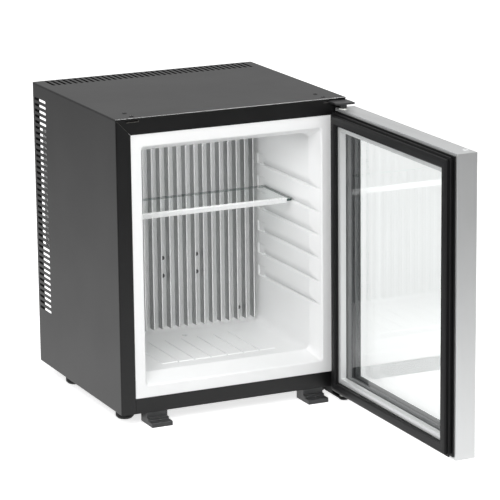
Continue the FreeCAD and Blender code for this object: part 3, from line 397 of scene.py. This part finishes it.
liner = {
    "mouth": (156.0, 65.0, 452.0, 6.0),     # half width, low, high, corner radius
    "cavity": (150.0, 77.0, 440.0, 11.0),
    "lip": (21.5, 22.5, 23.5),              # how far the lip runs out at the sides, below and above
    "lipFace": 10.0, "lipRound": 2.5, "lipTurn": 78.0, "flareEnd": 45.0, "back": 252.0, "backRound": 10.0,
    "lipCorner": (1.6, 0.06),               # how fast the corner shrinks out on the lip, and its least share
    "backCorner": 4.0, "wall": 1.5,
    "grooveLow": 158.0, "groovePitch": 38.7, "grooves": 6, "grooveDeep": 6.3, "grooveHigh": 15.0,
    "grooveBow": 1.8, "grooveFloor": (-0.1, 0.5), "grooveEnd": 222.0, "grooveSoft": 0.6, "grooveLead": 2.5,
    "pocketDeep": 2.5, "pocketHigh": 18.0, "pocketTop": (-1.2, 0.6), "pocketSpan": (212.0, 240.5),
    "pocketSoft": 0.7,
    "pads": 7, "padPitch": 29.0, "padHalf": 14.05, "padSpan": (73.0, 199.0), "padHigh": 1.0, "padEdge": 0.2,
    "padSoft": 0.5, "joint": (0.4, 0.9, 2.0),           # half width at its floor and at its top, depth
    "drain": (0.0, 213.0), "drainHole": 4.5, "drainRise": 5.0,
    # Painted shade in the grooves: how far above a groove's floor it comes in, and the least depth it is shared
    # against
    "shadeFrom": (0.2, 0.9), "shadeLeast": 0.1,
    # Where the rings lie along the depth, and the points along each ring
    "lipShares": [1.0, 0.985, 0.97, 0.6, 0.25], "lipRings": 6, "backRings": 7, "cornerSteps": 9,
    "wallRings": [13.5, 14.5, 15.5, 16.5, 18, 20, 23, 27, 32, 38, 44.4, 45, 45.6, 50, 58, 66, 80, 110, 150, 185,
                  206, 217, 230],
    "markRings": [-0.8, -0.3, 0.3, 0.8], "drainReach": 6.0, "drainSteps": 9,
    "grooveSteps": [-2.0, -0.7, -0.25, 0.0, 0.2, 0.45, 0.8, 2.0, 3.5, 5.0, 6.5, 8.0, 10.0, 12.0, 14.0, 16.0],
    "pocketSteps": [-1.4, -0.7, -0.2, 0.3, 0.8, 2.0], "wallSteps": [110, 135, 390],
    "jointSteps": [-2.2, -0.9, -0.65, -0.25, 0, 0.25, 0.65, 0.9, 2.2], "floorSteps": [-136, -120, 120, 136],
    "topSteps": [136.0, 60.0, -60.0, -136.0],
}


# The tub as rings of a rounded rectangle along its depth: out on the lip, round the mouth, in along the flare, back
# along the walls and round into the back. A groove is a scoop: its depth is a power of the height left above its
# floor, so it fades out upwards, and it runs out in a point where the flare is as wide. Pads on the floor are raised,
# with a cut at each joint between two of them. The third result is painted shade: a groove's or a joint's share of
# its depth at each point, which darkens the white there
def linerTub(size):
    half, low, high, corner = size["mouth"]
    cavHalf, cavLow, cavHigh, cavCorner = size["cavity"]
    lipSide, lipBelow, lipAbove = size["lip"]
    face, bow, back, backRound = size["lipFace"], size["lipRound"], size["back"], size["backRound"]

    turn = np.radians(np.linspace(0, size["lipTurn"], size["lipRings"]))
    bend = np.radians(np.linspace(0, 90, size["backRings"]))[1:]
    drain = np.linspace(-size["drainReach"], size["drainReach"], size["drainSteps"])
    marks = np.array([*size["padSpan"], *size["pocketSpan"], size["grooveEnd"]])
    wallY = np.unique(np.round(np.concatenate([
        size["wallRings"], (marks[:, None] + np.array(size["markRings"])).ravel(), size["drain"][1] + drain,
        [back - backRound]]), 3))
    lipOut = np.concatenate([size["lipShares"], bow * (1 - np.sin(turn)) / lipSide])
    lipY = np.concatenate([[face] * len(size["lipShares"]), face + bow * (1 - np.cos(turn))])
    y = np.concatenate([lipY, wallY, back - backRound * (1 - np.sin(bend))])
    out = np.concatenate([lipOut, np.zeros(len(y) - len(lipOut))])
    inset = np.concatenate([np.zeros(len(y) - len(bend)), backRound * (1 - np.cos(bend))])
    flare = np.clip((y - face - bow) / (size["flareEnd"] - face - bow), 0, 1)
    halfX = (half + out * lipSide + flare * (cavHalf - half) - inset)[:, None]
    bottom = (low - out * lipBelow + flare * (cavLow - low) + inset)[:, None]
    top = (high + out * lipAbove + flare * (cavHigh - high) - inset)[:, None]
    shrink, least = size["lipCorner"]
    radius = corner * np.clip(1 - shrink * out, least, 1) + flare * (cavCorner - corner)
    radius = np.maximum(radius - inset, np.minimum(radius, size["backCorner"]))[:, None]

    levels = size["grooveLow"] + size["groovePitch"] * np.arange(size["grooves"])
    rise = size["pocketHigh"]
    steps = np.concatenate([size["grooveSteps"], rise + np.array(size["pocketSteps"])])
    z = np.unique(np.round(np.concatenate([
        (levels[:, None] + steps).ravel(), size["wallSteps"], [cavLow + cavCorner, cavHigh - cavCorner]]), 3))
    edges = (np.arange(size["pads"] + 1) - size["pads"] / 2) * size["padPitch"]
    x = np.unique(np.round(np.concatenate([
        (edges[:, None] + np.array(size["jointSteps"])).ravel(), size["floorSteps"], drain]), 3))
    ceiling = np.array(size["topSteps"])
    arc = np.radians(np.linspace(0, 90, size["cornerSteps"]))[1:-1]
    rows = np.ones((len(y), 1))
    parts = [
        (rows * x, bottom + 0 * x, "floor"),
        (halfX - radius + radius * np.sin(arc), bottom + radius - radius * np.cos(arc), "arc"),
        (halfX + 0 * z, rows * z, "right"),
        (halfX - radius + radius * np.cos(arc), top - radius + radius * np.sin(arc), "arc"),
        (rows * ceiling, top + 0 * ceiling, "top"),
        (-halfX + radius - radius * np.sin(arc), top - radius + radius * np.cos(arc), "arc"),
        (-halfX + 0 * z, rows * z[::-1], "left"),
        (-halfX + radius - radius * np.cos(arc), bottom + radius - radius * np.sin(arc), "arc"),
    ]
    allX = np.concatenate([part[0] for part in parts], 1)
    allZ = np.concatenate([part[1] for part in parts], 1)
    wall = np.concatenate([[part[2]] * part[0].shape[1] for part in parts])
    depth = y[:, None]

    nearestLevel = np.floor((allZ - size["grooveLow"] + size["grooveLead"]) / size["groovePitch"])
    above = allZ - levels[np.clip(nearestLevel, 0, size["grooves"] - 1).astype(int)]
    overFloor = smooth(above, *size["grooveFloor"])
    grooveEnd, grooveSoft = size["grooveEnd"], size["grooveSoft"]
    groove = overFloor * np.clip(1 - above / size["grooveHigh"], 0, 1) ** size["grooveBow"]
    groove = groove * (1 - smooth(depth, grooveEnd - grooveSoft, grooveEnd + grooveSoft)) * size["grooveDeep"]
    topFrom, topTo = size["pocketTop"]
    pocket = overFloor * (1 - smooth(above, rise + topFrom, rise + topTo))
    pocket = pocket * within(depth, size["pocketSpan"], size["pocketSoft"])
    pressed = np.maximum(groove, pocket * size["pocketDeep"])
    pressed = np.where(pressed > 0, np.maximum(cavHalf + pressed - np.maximum(halfX, cavHalf), 0), 0)
    allX = allX + np.where(wall == "right", pressed, 0) - np.where(wall == "left", pressed, 0)

    padX = (np.arange(size["pads"]) - (size["pads"] - 1) / 2) * size["padPitch"]
    padHalf, padEdge = size["padHalf"], size["padEdge"]
    alongPads = within(depth, size["padSpan"], size["padSoft"])
    fromPad = np.abs(allX[:, :, None] - padX).min(2)
    raised = (1 - smooth(fromPad, padHalf - padEdge, padHalf + padEdge)) * alongPads * size["padHigh"]
    slim, broad, deep = size["joint"]
    fromJoint = np.abs(allX[:, :, None] - edges[1:-1]).min(2)
    cut = (1 - smooth(fromJoint, slim, broad)) * alongPads * deep
    allZ = allZ + np.where(wall == "floor", raised - cut, 0)

    points = np.stack([allX, depth + 0 * allX, allZ], -1).reshape(-1, 3)
    onSides = (wall == "right") | (wall == "left")
    # Painted shade: darker colour in the wall scoops, strongest low in each groove, and in the floor joints
    scoop = np.where(onSides, groove / size["grooveDeep"] * smooth(above, *size["shadeFrom"]), 0)
    scoop = scoop * np.clip(pressed / np.maximum(groove, size["shadeLeast"]), 0, 1)
    paintedShade = np.maximum(scoop, np.where(wall == "floor", cut / deep, 0))
    rings, count = allX.shape
    faces = gridFaces(rings, count, roundColumns=True)
    centre = points[faces].mean(1)
    drained = np.hypot(centre[:, 0] - size["drain"][0], centre[:, 1] - size["drain"][1]) < size["drainHole"]
    faces = faces[~(drained & (centre[:, 2] < cavLow + size["drainRise"]))]
    cap = [list(range((rings - 1) * count, rings * count))[::-1]]
    return points * mm, list(faces) + cap, paintedShade.ravel()


tubPoints, tubFaces, tubShade = linerTub(liner)
tubMesh = meshOf("liner_tub", [(tubPoints, tubFaces)])
# Painted shade: each point's share of the liner's darker second colour
tubMesh.attributes.new("paintedShade", "FLOAT", "POINT").data.foreach_set("value", tubShade.astype(np.float32))
tub = addPiece("liner_tub", tubMesh, "cabinet", "whiteLiner", ["inner_liner"])
shell = tub.modifiers.new("wall", "SOLIDIFY")
shell.thickness = liner["wall"] * mm
shell.offset = -1.0
print("liner done")


# Rings of points turned about an axis, each row reach away from it and rise along it, with both ends closed; one
# copy for each place
def turned(places, axis, reach, rise):
    axis = np.array(axis, float)
    side = np.cross(axis, [0.0, 1.0, 0.0] if abs(axis[1]) < 0.5 else [0.0, 0.0, 1.0])
    side /= np.linalg.norm(side)
    other = np.cross(axis, side)
    angle = np.linspace(0, 2 * pi, reach.shape[1], endpoint=False)
    ring = np.cos(angle)[None, :, None] * side + np.sin(angle)[None, :, None] * other
    points = (reach[:, :, None] * ring + rise[:, :, None] * axis).reshape(-1, 3)
    faces = gridFaces(*reach.shape, roundColumns=True)
    ends = [list(range(reach.shape[1]))[::-1], list(range(reach.size - reach.shape[1], reach.size))]
    return [((points + np.array(place, float)) * mm, list(faces) + ends) for place in places]


# Shares of the head's radius and height, and of the shank's length; only the crest is in millimetres
screwForm = {
    "rings": [0.06, 0.15, 0.24, 0.33, 0.42, 0.5, 0.56, 0.62, 0.72, 0.84, 0.93, 0.98, 1.0], "fall": 0.30,
    "cross": (0.10, 0.17), "crossEnd": (0.46, 0.6), "crossDeep": 0.6,
    "crest": 0.22, "threadRings": 8, "point": 0.75, "pointFrom": 0.86, "sides": 40,
}


# A pan head that falls with the cube of the way out, with a cross pressed into it, on a shank whose radius goes up
# and down along a helix and runs to a point
def screwTurns(size, length, form):
    head, high, shank, crest = size["head"], size["high"], size["shank"], form["crest"]
    angle = np.linspace(0, 2 * pi, form["sides"], endpoint=False)[None, :]
    across = np.array(form["rings"])[:, None] * head
    dome = high * (1 - form["fall"] * (across / head) ** 3)
    fromSlot = np.minimum(np.abs(across * np.sin(angle)), np.abs(across * np.cos(angle)))
    slim, broad = form["cross"]
    stopFrom, stopTo = form["crossEnd"]
    pressed = (1 - smooth(fromSlot, slim * head, broad * head)) * (1 - smooth(across, stopFrom * head, stopTo * head))
    down = np.linspace(0.0, 1.0, size["threads"] * form["threadRings"])[:, None]
    thread = shank + crest * np.sin(2 * pi * size["threads"] * down + angle) - crest
    thread = thread - shank * form["point"] * smooth(down, form["pointFrom"], 1.0)
    reach = np.concatenate([across + 0 * angle, head + 0 * angle, thread])
    rise = np.concatenate([dome - pressed * form["crossDeep"] * high, 0 * angle, -down * length + 0 * angle])
    return reach[::-1], rise[::-1]


# Each set is a length and the places of its screws
screws = {
    "cold_plate_screws": dict(
        axis=(0, -1, 0), head=3.4, high=2.6, shank=2.0, threads=9, finish="zincDark", slot="steel",
        sets=[(70.0, [(x, 249.0, z) for x in (-23.1, 38.5) for z in (174.75, 205.25)]),
              (14.0, [(x, 249.0, z) for x in (-115.5, 115.5) for z in (103.0, 403.0)])]),
    "hinge_screws": dict(
        axis=(0, 0, 1), head=3.4, high=1.2, shank=2.0, threads=7, finish="blackSteel", slot="black_steel",
        sets=[(5.0, [(x, y, 500.0) for x in (-166.5, 166.5) for y in (24.0, 52.0)])]),
}
for node, size in screws.items():
    shells = []
    for length, places in size["sets"]:
        shells += turned(places, size["axis"], *screwTurns(size, length, screwForm))
    mesh = meshOf(node + "_turned", shells)
    addPiece(node + "_turned", mesh, "cabinet", size["finish"], [node], sharp=50)

foot = {
    "profile": [(0.5, 0.6), (5.0, 0.6), (6.0, 0.0), (11.0, 0.0), (11.5, 0.2), (14.7, 3.6), (15.0, 4.3), (15.0, 5.5),
                (15.0, 6.5), (15.0, 15.0), (15.0, 17.0), (15.0, 18.5), (15.0, 19.2), (14.7, 19.8), (14.1, 20.0),
                (4.3, 20.0), (4.0, 20.3), (4.0, 28.5), (3.5, 29.0)],        # radius, height
    "flutes": 24, "fluteSteps": 6, "fluteDeep": 0.45, "fluteFrom": (5.0, 7.0), "fluteTo": (16.8, 18.8), "rim": 14.9,
    "x": {"left": -173.0, "right": 173.0}, "y": {"front": 62.0, "rear": 280.0},
}


# A disc foot with a stem: the profile turned round, less flutes that follow a cosine round its rim
def footTurns(size):
    angle = np.linspace(0, 2 * pi, size["flutes"] * size["fluteSteps"], endpoint=False)[None, :]
    reach, rise = np.hsplit(np.array(size["profile"]), 2)
    fluted = smooth(rise, *size["fluteFrom"]) * (1 - smooth(rise, *size["fluteTo"])) * (reach > size["rim"])
    return reach - fluted * size["fluteDeep"] * (0.5 + 0.5 * np.cos(size["flutes"] * angle)), rise + 0 * angle


for end, y in foot["y"].items():
    for side, x in foot["x"].items():
        node = end + "_" + side + "_foot"
        mesh = meshOf(node + "_turned", turned([(x, y, 0.0)], (0, 0, 1), *footTurns(foot)))
        addPiece(node + "_turned", mesh, "cabinet", "blackRubber", [node], sharp=35)
print("screws and feet done")

pivot = (184.5, -12.0)       # door hinge line


# From the door's shut place to its place at rest, a quarter turn about the hinge line
def toRest(points):
    x, y, z = np.moveaxis(np.asarray(points, float), -1, 0)
    return np.stack([pivot[0] - (y - pivot[1]), pivot[1] + (x - pivot[0]), z], -1)


gasket = {
    "half": 201.0, "low": 9.0, "high": 485.0, "face": -6.3, "round": 0.55, "steps": 4,
    # Width in from the door's edge and depth from its inner face, round the profile
    "profile": [(4.5, 0.0), (4.5, -2.2), (9.6, -2.6), (9.6, -6.6), (5.6, -7.0), (5.2, -8.0), (5.8, -9.0),
                (9.8, -9.4), (9.8, -11.2), (8.3, -12.2), (10.4, -14.0), (14.4, -14.9), (21.2, -15.0), (23.9, -13.8),
                (23.9, -11.4), (22.4, -10.6), (23.9, -9.6), (23.9, 0.0)],
}
cornerShare = 0.42           # the most of a side that one of its corners may take


# Corners cut by a quadratic curve that starts and ends the same way off along both sides
def softCorners(corners, reach, steps):
    here = np.array(corners, float)
    toBefore, toAfter = np.roll(here, 1, 0) - here, np.roll(here, -1, 0) - here
    lengthBefore, lengthAfter = (np.linalg.norm(way, axis=1)[:, None] for way in (toBefore, toAfter))
    start = here + toBefore / lengthBefore * np.minimum(reach, cornerShare * lengthBefore)
    end = here + toAfter / lengthAfter * np.minimum(reach, cornerShare * lengthAfter)
    t = np.linspace(0, 1, steps)[None, :, None]
    curve = (1 - t) ** 2 * start[:, None] + 2 * t * (1 - t) * here[:, None] + t ** 2 * end[:, None]
    return curve.reshape(-1, 2)


# The profile carried round the door's rectangle, mitred at its corners
def gasketRing(size):
    width, depth = softCorners(size["profile"], size["round"], size["steps"]).T
    corners = [(-1, False), (1, False), (1, True), (-1, True)]        # left or right, upper or not
    rows = [np.stack([side * (size["half"] - width), size["face"] - depth,
                      size["high"] - width if upper else size["low"] + width], -1) for side, upper in corners]
    return toRest(np.stack(rows)) * mm, gridFaces(len(corners), len(width), roundRows=True, roundColumns=True)


gasketMesh = meshOf("gasket_ring", [gasketRing(gasket)])
addPiece("gasket_ring", gasketMesh, "door", "blackRubber", ["door_gasket"], sharp=40)

shelfGlass = {"half": 153.0, "span": (111.0, 221.0), "low": 313.1, "thick": 4.0, "corner": 5.0, "arris": 0.4,
              "steps": 7}


# A slab from rings of one rounded outline, drawn in a little at both faces
def shelfSlab(size):
    arris, thick, corner = size["arris"], size["thick"], size["corner"]
    quarter = np.radians(np.linspace(0, 90, size["steps"]))
    centreX = size["half"] - corner
    near, far = size["span"][0] + corner, size["span"][1] - corner
    turns = [(centreX, far, 0), (-centreX, far, 90), (-centreX, near, 180), (centreX, near, 270)]
    levels = [(arris, 0.0), (0.0, arris), (0.0, thick - arris), (arris, thick)]
    rings = []
    for inset, rise in levels:
        r = corner - inset
        outline = [np.stack([x + r * np.cos(quarter + radians(turn)), y + r * np.sin(quarter + radians(turn)),
                             np.full(len(quarter), size["low"] + rise)], -1) for x, y, turn in turns]
        rings.append(np.concatenate(outline))
    count, total = len(rings[0]), len(rings[0]) * len(levels)
    faces = [list(range(count))[::-1], list(range(total - count, total))]
    return np.stack(rings) * mm, faces + list(gridFaces(len(levels), count, roundColumns=True))


slabMesh = meshOf("shelf_slab", [shelfSlab(shelfGlass)])
addPiece("shelf_slab", slabMesh, "shelf", ["shelfClear", "glassEdge"], ["shelf_glass"], sharp=30)
sideFaces = np.arange(len(slabMesh.polygons)) > 1        # the two big faces come first
slabMesh.polygons.foreach_set("material_index", sideFaces.astype(np.int32))
print("gasket and shelf done")

plate = {"edge": 0.35, "tipDepth": 240.0, "flank": 0.7}


# The extruded plate, its faces told apart by how each points: a plain base, the fin flanks in a darker copy of
# the metal as painted shade, and the fin tips in a brighter, glossier copy as painted highlight
def coldPlate(size):
    piece = rounded("cold_plate", "cabinet", "fin_aluminium", ["finMetal", "finFlankShade", "finTipHighlight"], size["edge"])
    count = len(piece.data.polygons)
    normal, centre = np.empty(count * 3, np.float32), np.empty(count * 3, np.float32)
    piece.data.polygons.foreach_get("normal", normal)
    piece.data.polygons.foreach_get("center", centre)
    normal, centre = normal.reshape(-1, 3), centre.reshape(-1, 3) / mm
    kind = np.where(np.abs(normal[:, 0]) > size["flank"], 1, 0)
    kind[(normal[:, 1] < -size["flank"]) & (centre[:, 1] < size["tipDepth"])] = 2
    piece.data.polygons.foreach_set("material_index", kind.astype(np.int32))


coldPlate(plate)

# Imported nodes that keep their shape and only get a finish
plainNodes = {
    "insulation_foam": "foam", "bottom_panel": "blackPaint", "rear_skin": "galvanised", "cold_block": "finMetal",
    "thermoelectric_module": "ceramic", "hot_block": "finMetal", "heat_pipes": "copper", "left_radiator": "finMetal",
    "right_radiator": "finMetal", "left_radiator_bracket": "galvanised", "right_radiator_bracket": "galvanised",
    "module_leads": "leadRed", "temperature_sensor": "zincSteel", "control_board": "board", "drain_tube": "whiteTrim",
    "hinge_backing_plates": "zincSteel", "door_corner_keys": "zincSteel", "inner_glass": "clearGlass",
    "middle_glass": "clearGlass", "outer_glass": "clearGlass", "inner_spacer": "spacerGrey",
    "outer_spacer": "spacerGrey", "setting_blocks": "nylon", "magnet_strips": "magnet", "upper_door_bush": "nylon",
    # The lower hinge pin takes the darker steel, painted shade
    "lower_door_bush": "nylon", "upper_hinge_pin": "blackSteel", "lower_hinge_pin": "shadeSteel",
    "fixing_tab_screws": "zincSteel", "lower_hinge_screws": "zincSteel", "door_top_plug": "whiteTrim",
}
for node, paint in plainNodes.items():
    nodes[node].data.materials.clear()
    nodes[node].data.materials.append(paints[paint])

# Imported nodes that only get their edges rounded
softNodes = {
    "control_box": dict(body="cabinet", slotName="black_plastic", paint="blackPlastic", width=0.8),
    "mains_inlet": dict(body="cabinet", slotName="black_plastic", paint="blackPlastic", width=0.4),
    "drip_tray": dict(body="cabinet", slotName="black_plastic", paint="blackPlastic", width=0.4),
    "left_fixing_tab": dict(body="cabinet", slotName="black_plastic", paint="tabPlastic", width=0.8),
    "right_fixing_tab": dict(body="cabinet", slotName="black_plastic", paint="tabPlastic", width=0.8),
    "upper_hinge_plate": dict(body="cabinet", slotName="black_steel", paint="blackSteel", width=0.35),
    # The lower hinge plate takes the darker steel, painted shade
    "lower_hinge_plate": dict(body="cabinet", slotName="black_steel", paint="shadeSteel", width=0.35),
    "shelf_trim": dict(body="shelf", slotName="white_trim", paint="whiteTrim", width=1.0, segments=3),
    "door_frame_top": dict(body="door", slotName="silver_frame", paint="silverFrame", width=0.4),
    "door_frame_bottom": dict(body="door", slotName="silver_frame", paint="silverFrame", width=0.4),
    "door_frame_hinge_side": dict(body="door", slotName="silver_frame", paint="silverUpright", width=0.4),
    "door_frame_free_side": dict(body="door", slotName="silver_frame", paint="silverUpright", width=0.4),
}
for node, settings in softNodes.items():
    rounded(node, **settings)

# Profile points are (in from the outer edge, x)
bead = {
    "along": (-383.2, -9.8), "high": (23.3, 470.7), "round": 0.5, "steps": 3,
    "profile": [(0.0, 178.8), (10.0, 178.8), (10.0, 170.8), (18.7, 170.8), (18.7, 180.7), (0.0, 180.7)],
}


# A profile with soft corners carried round a rectangle, mitred where the sides meet
def beadRing(size):
    inset, x = softCorners(size["profile"], size["round"], size["steps"]).T
    (near, far), (low, high) = size["along"], size["high"]
    y = np.stack([near + inset, far - inset, far - inset, near + inset])
    z = np.stack([low + inset, low + inset, high - inset, high - inset])
    points = np.stack([np.broadcast_to(x, y.shape), y, z], -1)
    return points * mm, gridFaces(*y.shape, roundRows=True, roundColumns=True)


beadMesh = meshOf("glazing_bead_soft", [beadRing(bead)])
addPiece("glazing_bead_soft", beadMesh, "door", "silverBead", ["glazing_bead"], sharp=50)

# Outlines are (y, z) and run anticlockwise seen from the right
folded = {
    # The gusset takes the darker steel, painted shade
    "lower_hinge_gusset": dict(across=(174.6, 177.0), slot="black_steel", finish="shadeSteel", edge=0.3, steps=2,
                               outline=[(13.2, 4.6), (38.0, 4.6), (44.8, 10.0), (44.8, 16.9), (13.2, 16.9)]),
    # A near-black sheet under the top vents: painted shade standing in for the shade inside the casing
    "top_vent_shade_sheet": dict(across=(-196.0, 196.0), slot="black_plastic", finish="ventScreen", edge=0.15, steps=2,
                            outline=[(312.0, 495.5), (367.6, 495.5), (367.6, 498.8), (366.6, 498.8), (366.6, 496.5),
                                     (312.0, 496.5)]),
}


# An outline carried straight across, with both ends closed
def carriedAcross(outline, across):
    flat = np.array(outline)
    count = len(flat)
    ends = [np.column_stack([np.full(count, x), flat]) for x in across]
    here = np.arange(count)
    there = (here + 1) % count
    sides = np.stack([here, there, there + count, here + count], 1)
    caps = [list(range(count))[::-1], list(range(count, 2 * count))]
    return np.concatenate(ends) * mm, list(sides) + caps


for name, size in folded.items():
    mesh = meshOf(name, [carriedAcross(size["outline"], size["across"])])
    soft = addPiece(name, mesh, "cabinet", size["finish"]).modifiers.new("edges", "BEVEL")
    soft.width = size["edge"] * mm
    soft.segments = size["steps"]
print("other pieces done")

view = {"lens": 205.84, "sensor": 36.0, "clipEnd": 100.0, "azimuth": -24.867, "elevation": 14.043, "roll": -0.615,
        "place": (-1.8377, -4.0154, 1.3757)}


# Back points to the camera by azimuth and elevation, right is level and then turned about back by the roll, and up
# is square to both
def makeCamera(size):
    a, e, r = (radians(size[key]) for key in ("azimuth", "elevation", "roll"))
    back = Vector((sin(a) * cos(e), -cos(a) * cos(e), sin(e)))
    level = Vector((cos(a), sin(a), 0.0))
    right = level * cos(r) + back.cross(level) * sin(r)
    up = back.cross(right)
    data = bpy.data.cameras.new("camera")
    data.lens = size["lens"]
    data.sensor_width = size["sensor"]
    data.clip_end = size["clipEnd"]
    camera = bpy.data.objects.new("camera", data)
    camera.matrix_world = Matrix.Translation(size["place"]) @ Matrix((right, up, back)).transposed().to_4x4()
    bpy.context.scene.collection.objects.link(camera)
    bpy.context.scene.camera = camera


backdrop = {"level": 0.56, "climb": (0.2, 0.6), "tones": (0.43, 0.85), "ahead": (-0.85, -0.35), "aheadTone": 0.25}


# White to the camera and through glass. In gloss it climbs from the lower tone to the upper one and falls off towards
# the front, and to all else it gives one plain level
def makeWorld(size):
    world = bpy.context.scene.world or bpy.data.worlds.new("world")
    bpy.context.scene.world = world
    shades = Shades(world)
    seen = shades.ray("Camera") + shades.ray("Transmission")
    glossy = shades.ray("Glossy")
    climb = shades.slope(shades.along("Generated", "Z"), *size["climb"], *size["tones"])
    front = shades.slope(shades.along("Generated", "Y"), *size["ahead"], size["aheadTone"], 1.0)
    strength = seen + (1.0 - seen) * (glossy * climb * front + (1.0 - glossy) * size["level"])
    background = shades.make("ShaderNodeBackground", {}, {"Color": white, "Strength": strength})
    shades.show(background, "ShaderNodeOutputWorld")


ground = {"half": 12.0, "tone": 0.90, "lift": 0.72, "front": (-2.1, -0.35), "frontTone": 0.06, "rear": (0.3, 2.6),
          "rearTone": 0.45}


# Matt, and lifted towards white for the camera alone, so that it keeps the shadow. In gloss it is a light that fades
# towards the front and towards the rear
def makeFloor(size):
    half = size["half"]
    mesh = bpy.data.meshes.new("floor")
    mesh.from_pydata([(-half, -half, 0), (half, -half, 0), (half, half, 0), (-half, half, 0)], [], [(0, 1, 2, 3)])
    floor = bpy.data.objects.new("floor", mesh)
    bpy.context.scene.collection.objects.link(floor)
    material = bpy.data.materials.new("floor")
    mesh.materials.append(material)
    shades = Shades(material)
    matt = shades.make("ShaderNodeBsdfDiffuse", {}, {"Color": tone((size["tone"],) * 3)})
    lift = shades.make("ShaderNodeEmission", {}, {"Color": white, "Strength": shades.ray("Camera") * size["lift"]})
    lit = shades.make("ShaderNodeAddShader", {}, {0: matt, 1: lift})
    ahead = shades.along("Object", "Y")
    fade = shades.slope(ahead, *size["front"], size["frontTone"], 1.0)
    dim = shades.slope(ahead, *size["rear"], 1.0, size["rearTone"], "LINEAR")
    mirror = shades.make("ShaderNodeEmission", {}, {"Color": white, "Strength": fade * dim})
    shades.show(shades.make("ShaderNodeMixShader", {}, {0: shades.ray("Glossy"), 1: lit, 2: mirror}))


lamps = {
    "key": dict(place=(-2.2, -2.6, 2.6), across=2.4, watts=86.0, aim=(0.0, 0.0, 0.25)),
    "fill": dict(place=(0.8, -3.2, 1.6), across=2.2, watts=9.0, aim=(0.0, 0.0, 0.25)),
    "top": dict(place=(1.0, -0.6, 2.8), across=0.7, watts=10.0, aim=(0.0, 0.0, 0.25)),
    "inside": dict(place=(0.0, 0.125, 0.434), across=0.17, watts=0.15, aim=(0.0, 0.15, 0.1)),
    "gleam": dict(place=(1.05, -0.6, 2.8), across=0.8, watts=60.0, aim=(0.0, 0.0, 0.5), glossOnly=True),
}


# Square soft lamps turned to what they are aimed at; one of them shows only in gloss
def makeLamps(sizes):
    for name, size in sizes.items():
        data = bpy.data.lights.new(name, "AREA")
        data.size = size["across"]
        data.energy = size["watts"]
        lamp = bpy.data.objects.new(name, data)
        lamp.location = size["place"]
        lamp.rotation_euler = (Vector(size["aim"]) - Vector(size["place"])).to_track_quat("-Z", "Y").to_euler()
        lamp.visible_camera = False
        lamp.visible_diffuse = not size.get("glossOnly", False)
        bpy.context.scene.collection.objects.link(lamp)


makeCamera(view)
makeWorld(backdrop)
makeFloor(ground)
makeLamps(lamps)
bpy.context.scene.view_settings.view_transform = "Standard"
print("camera and studio done")
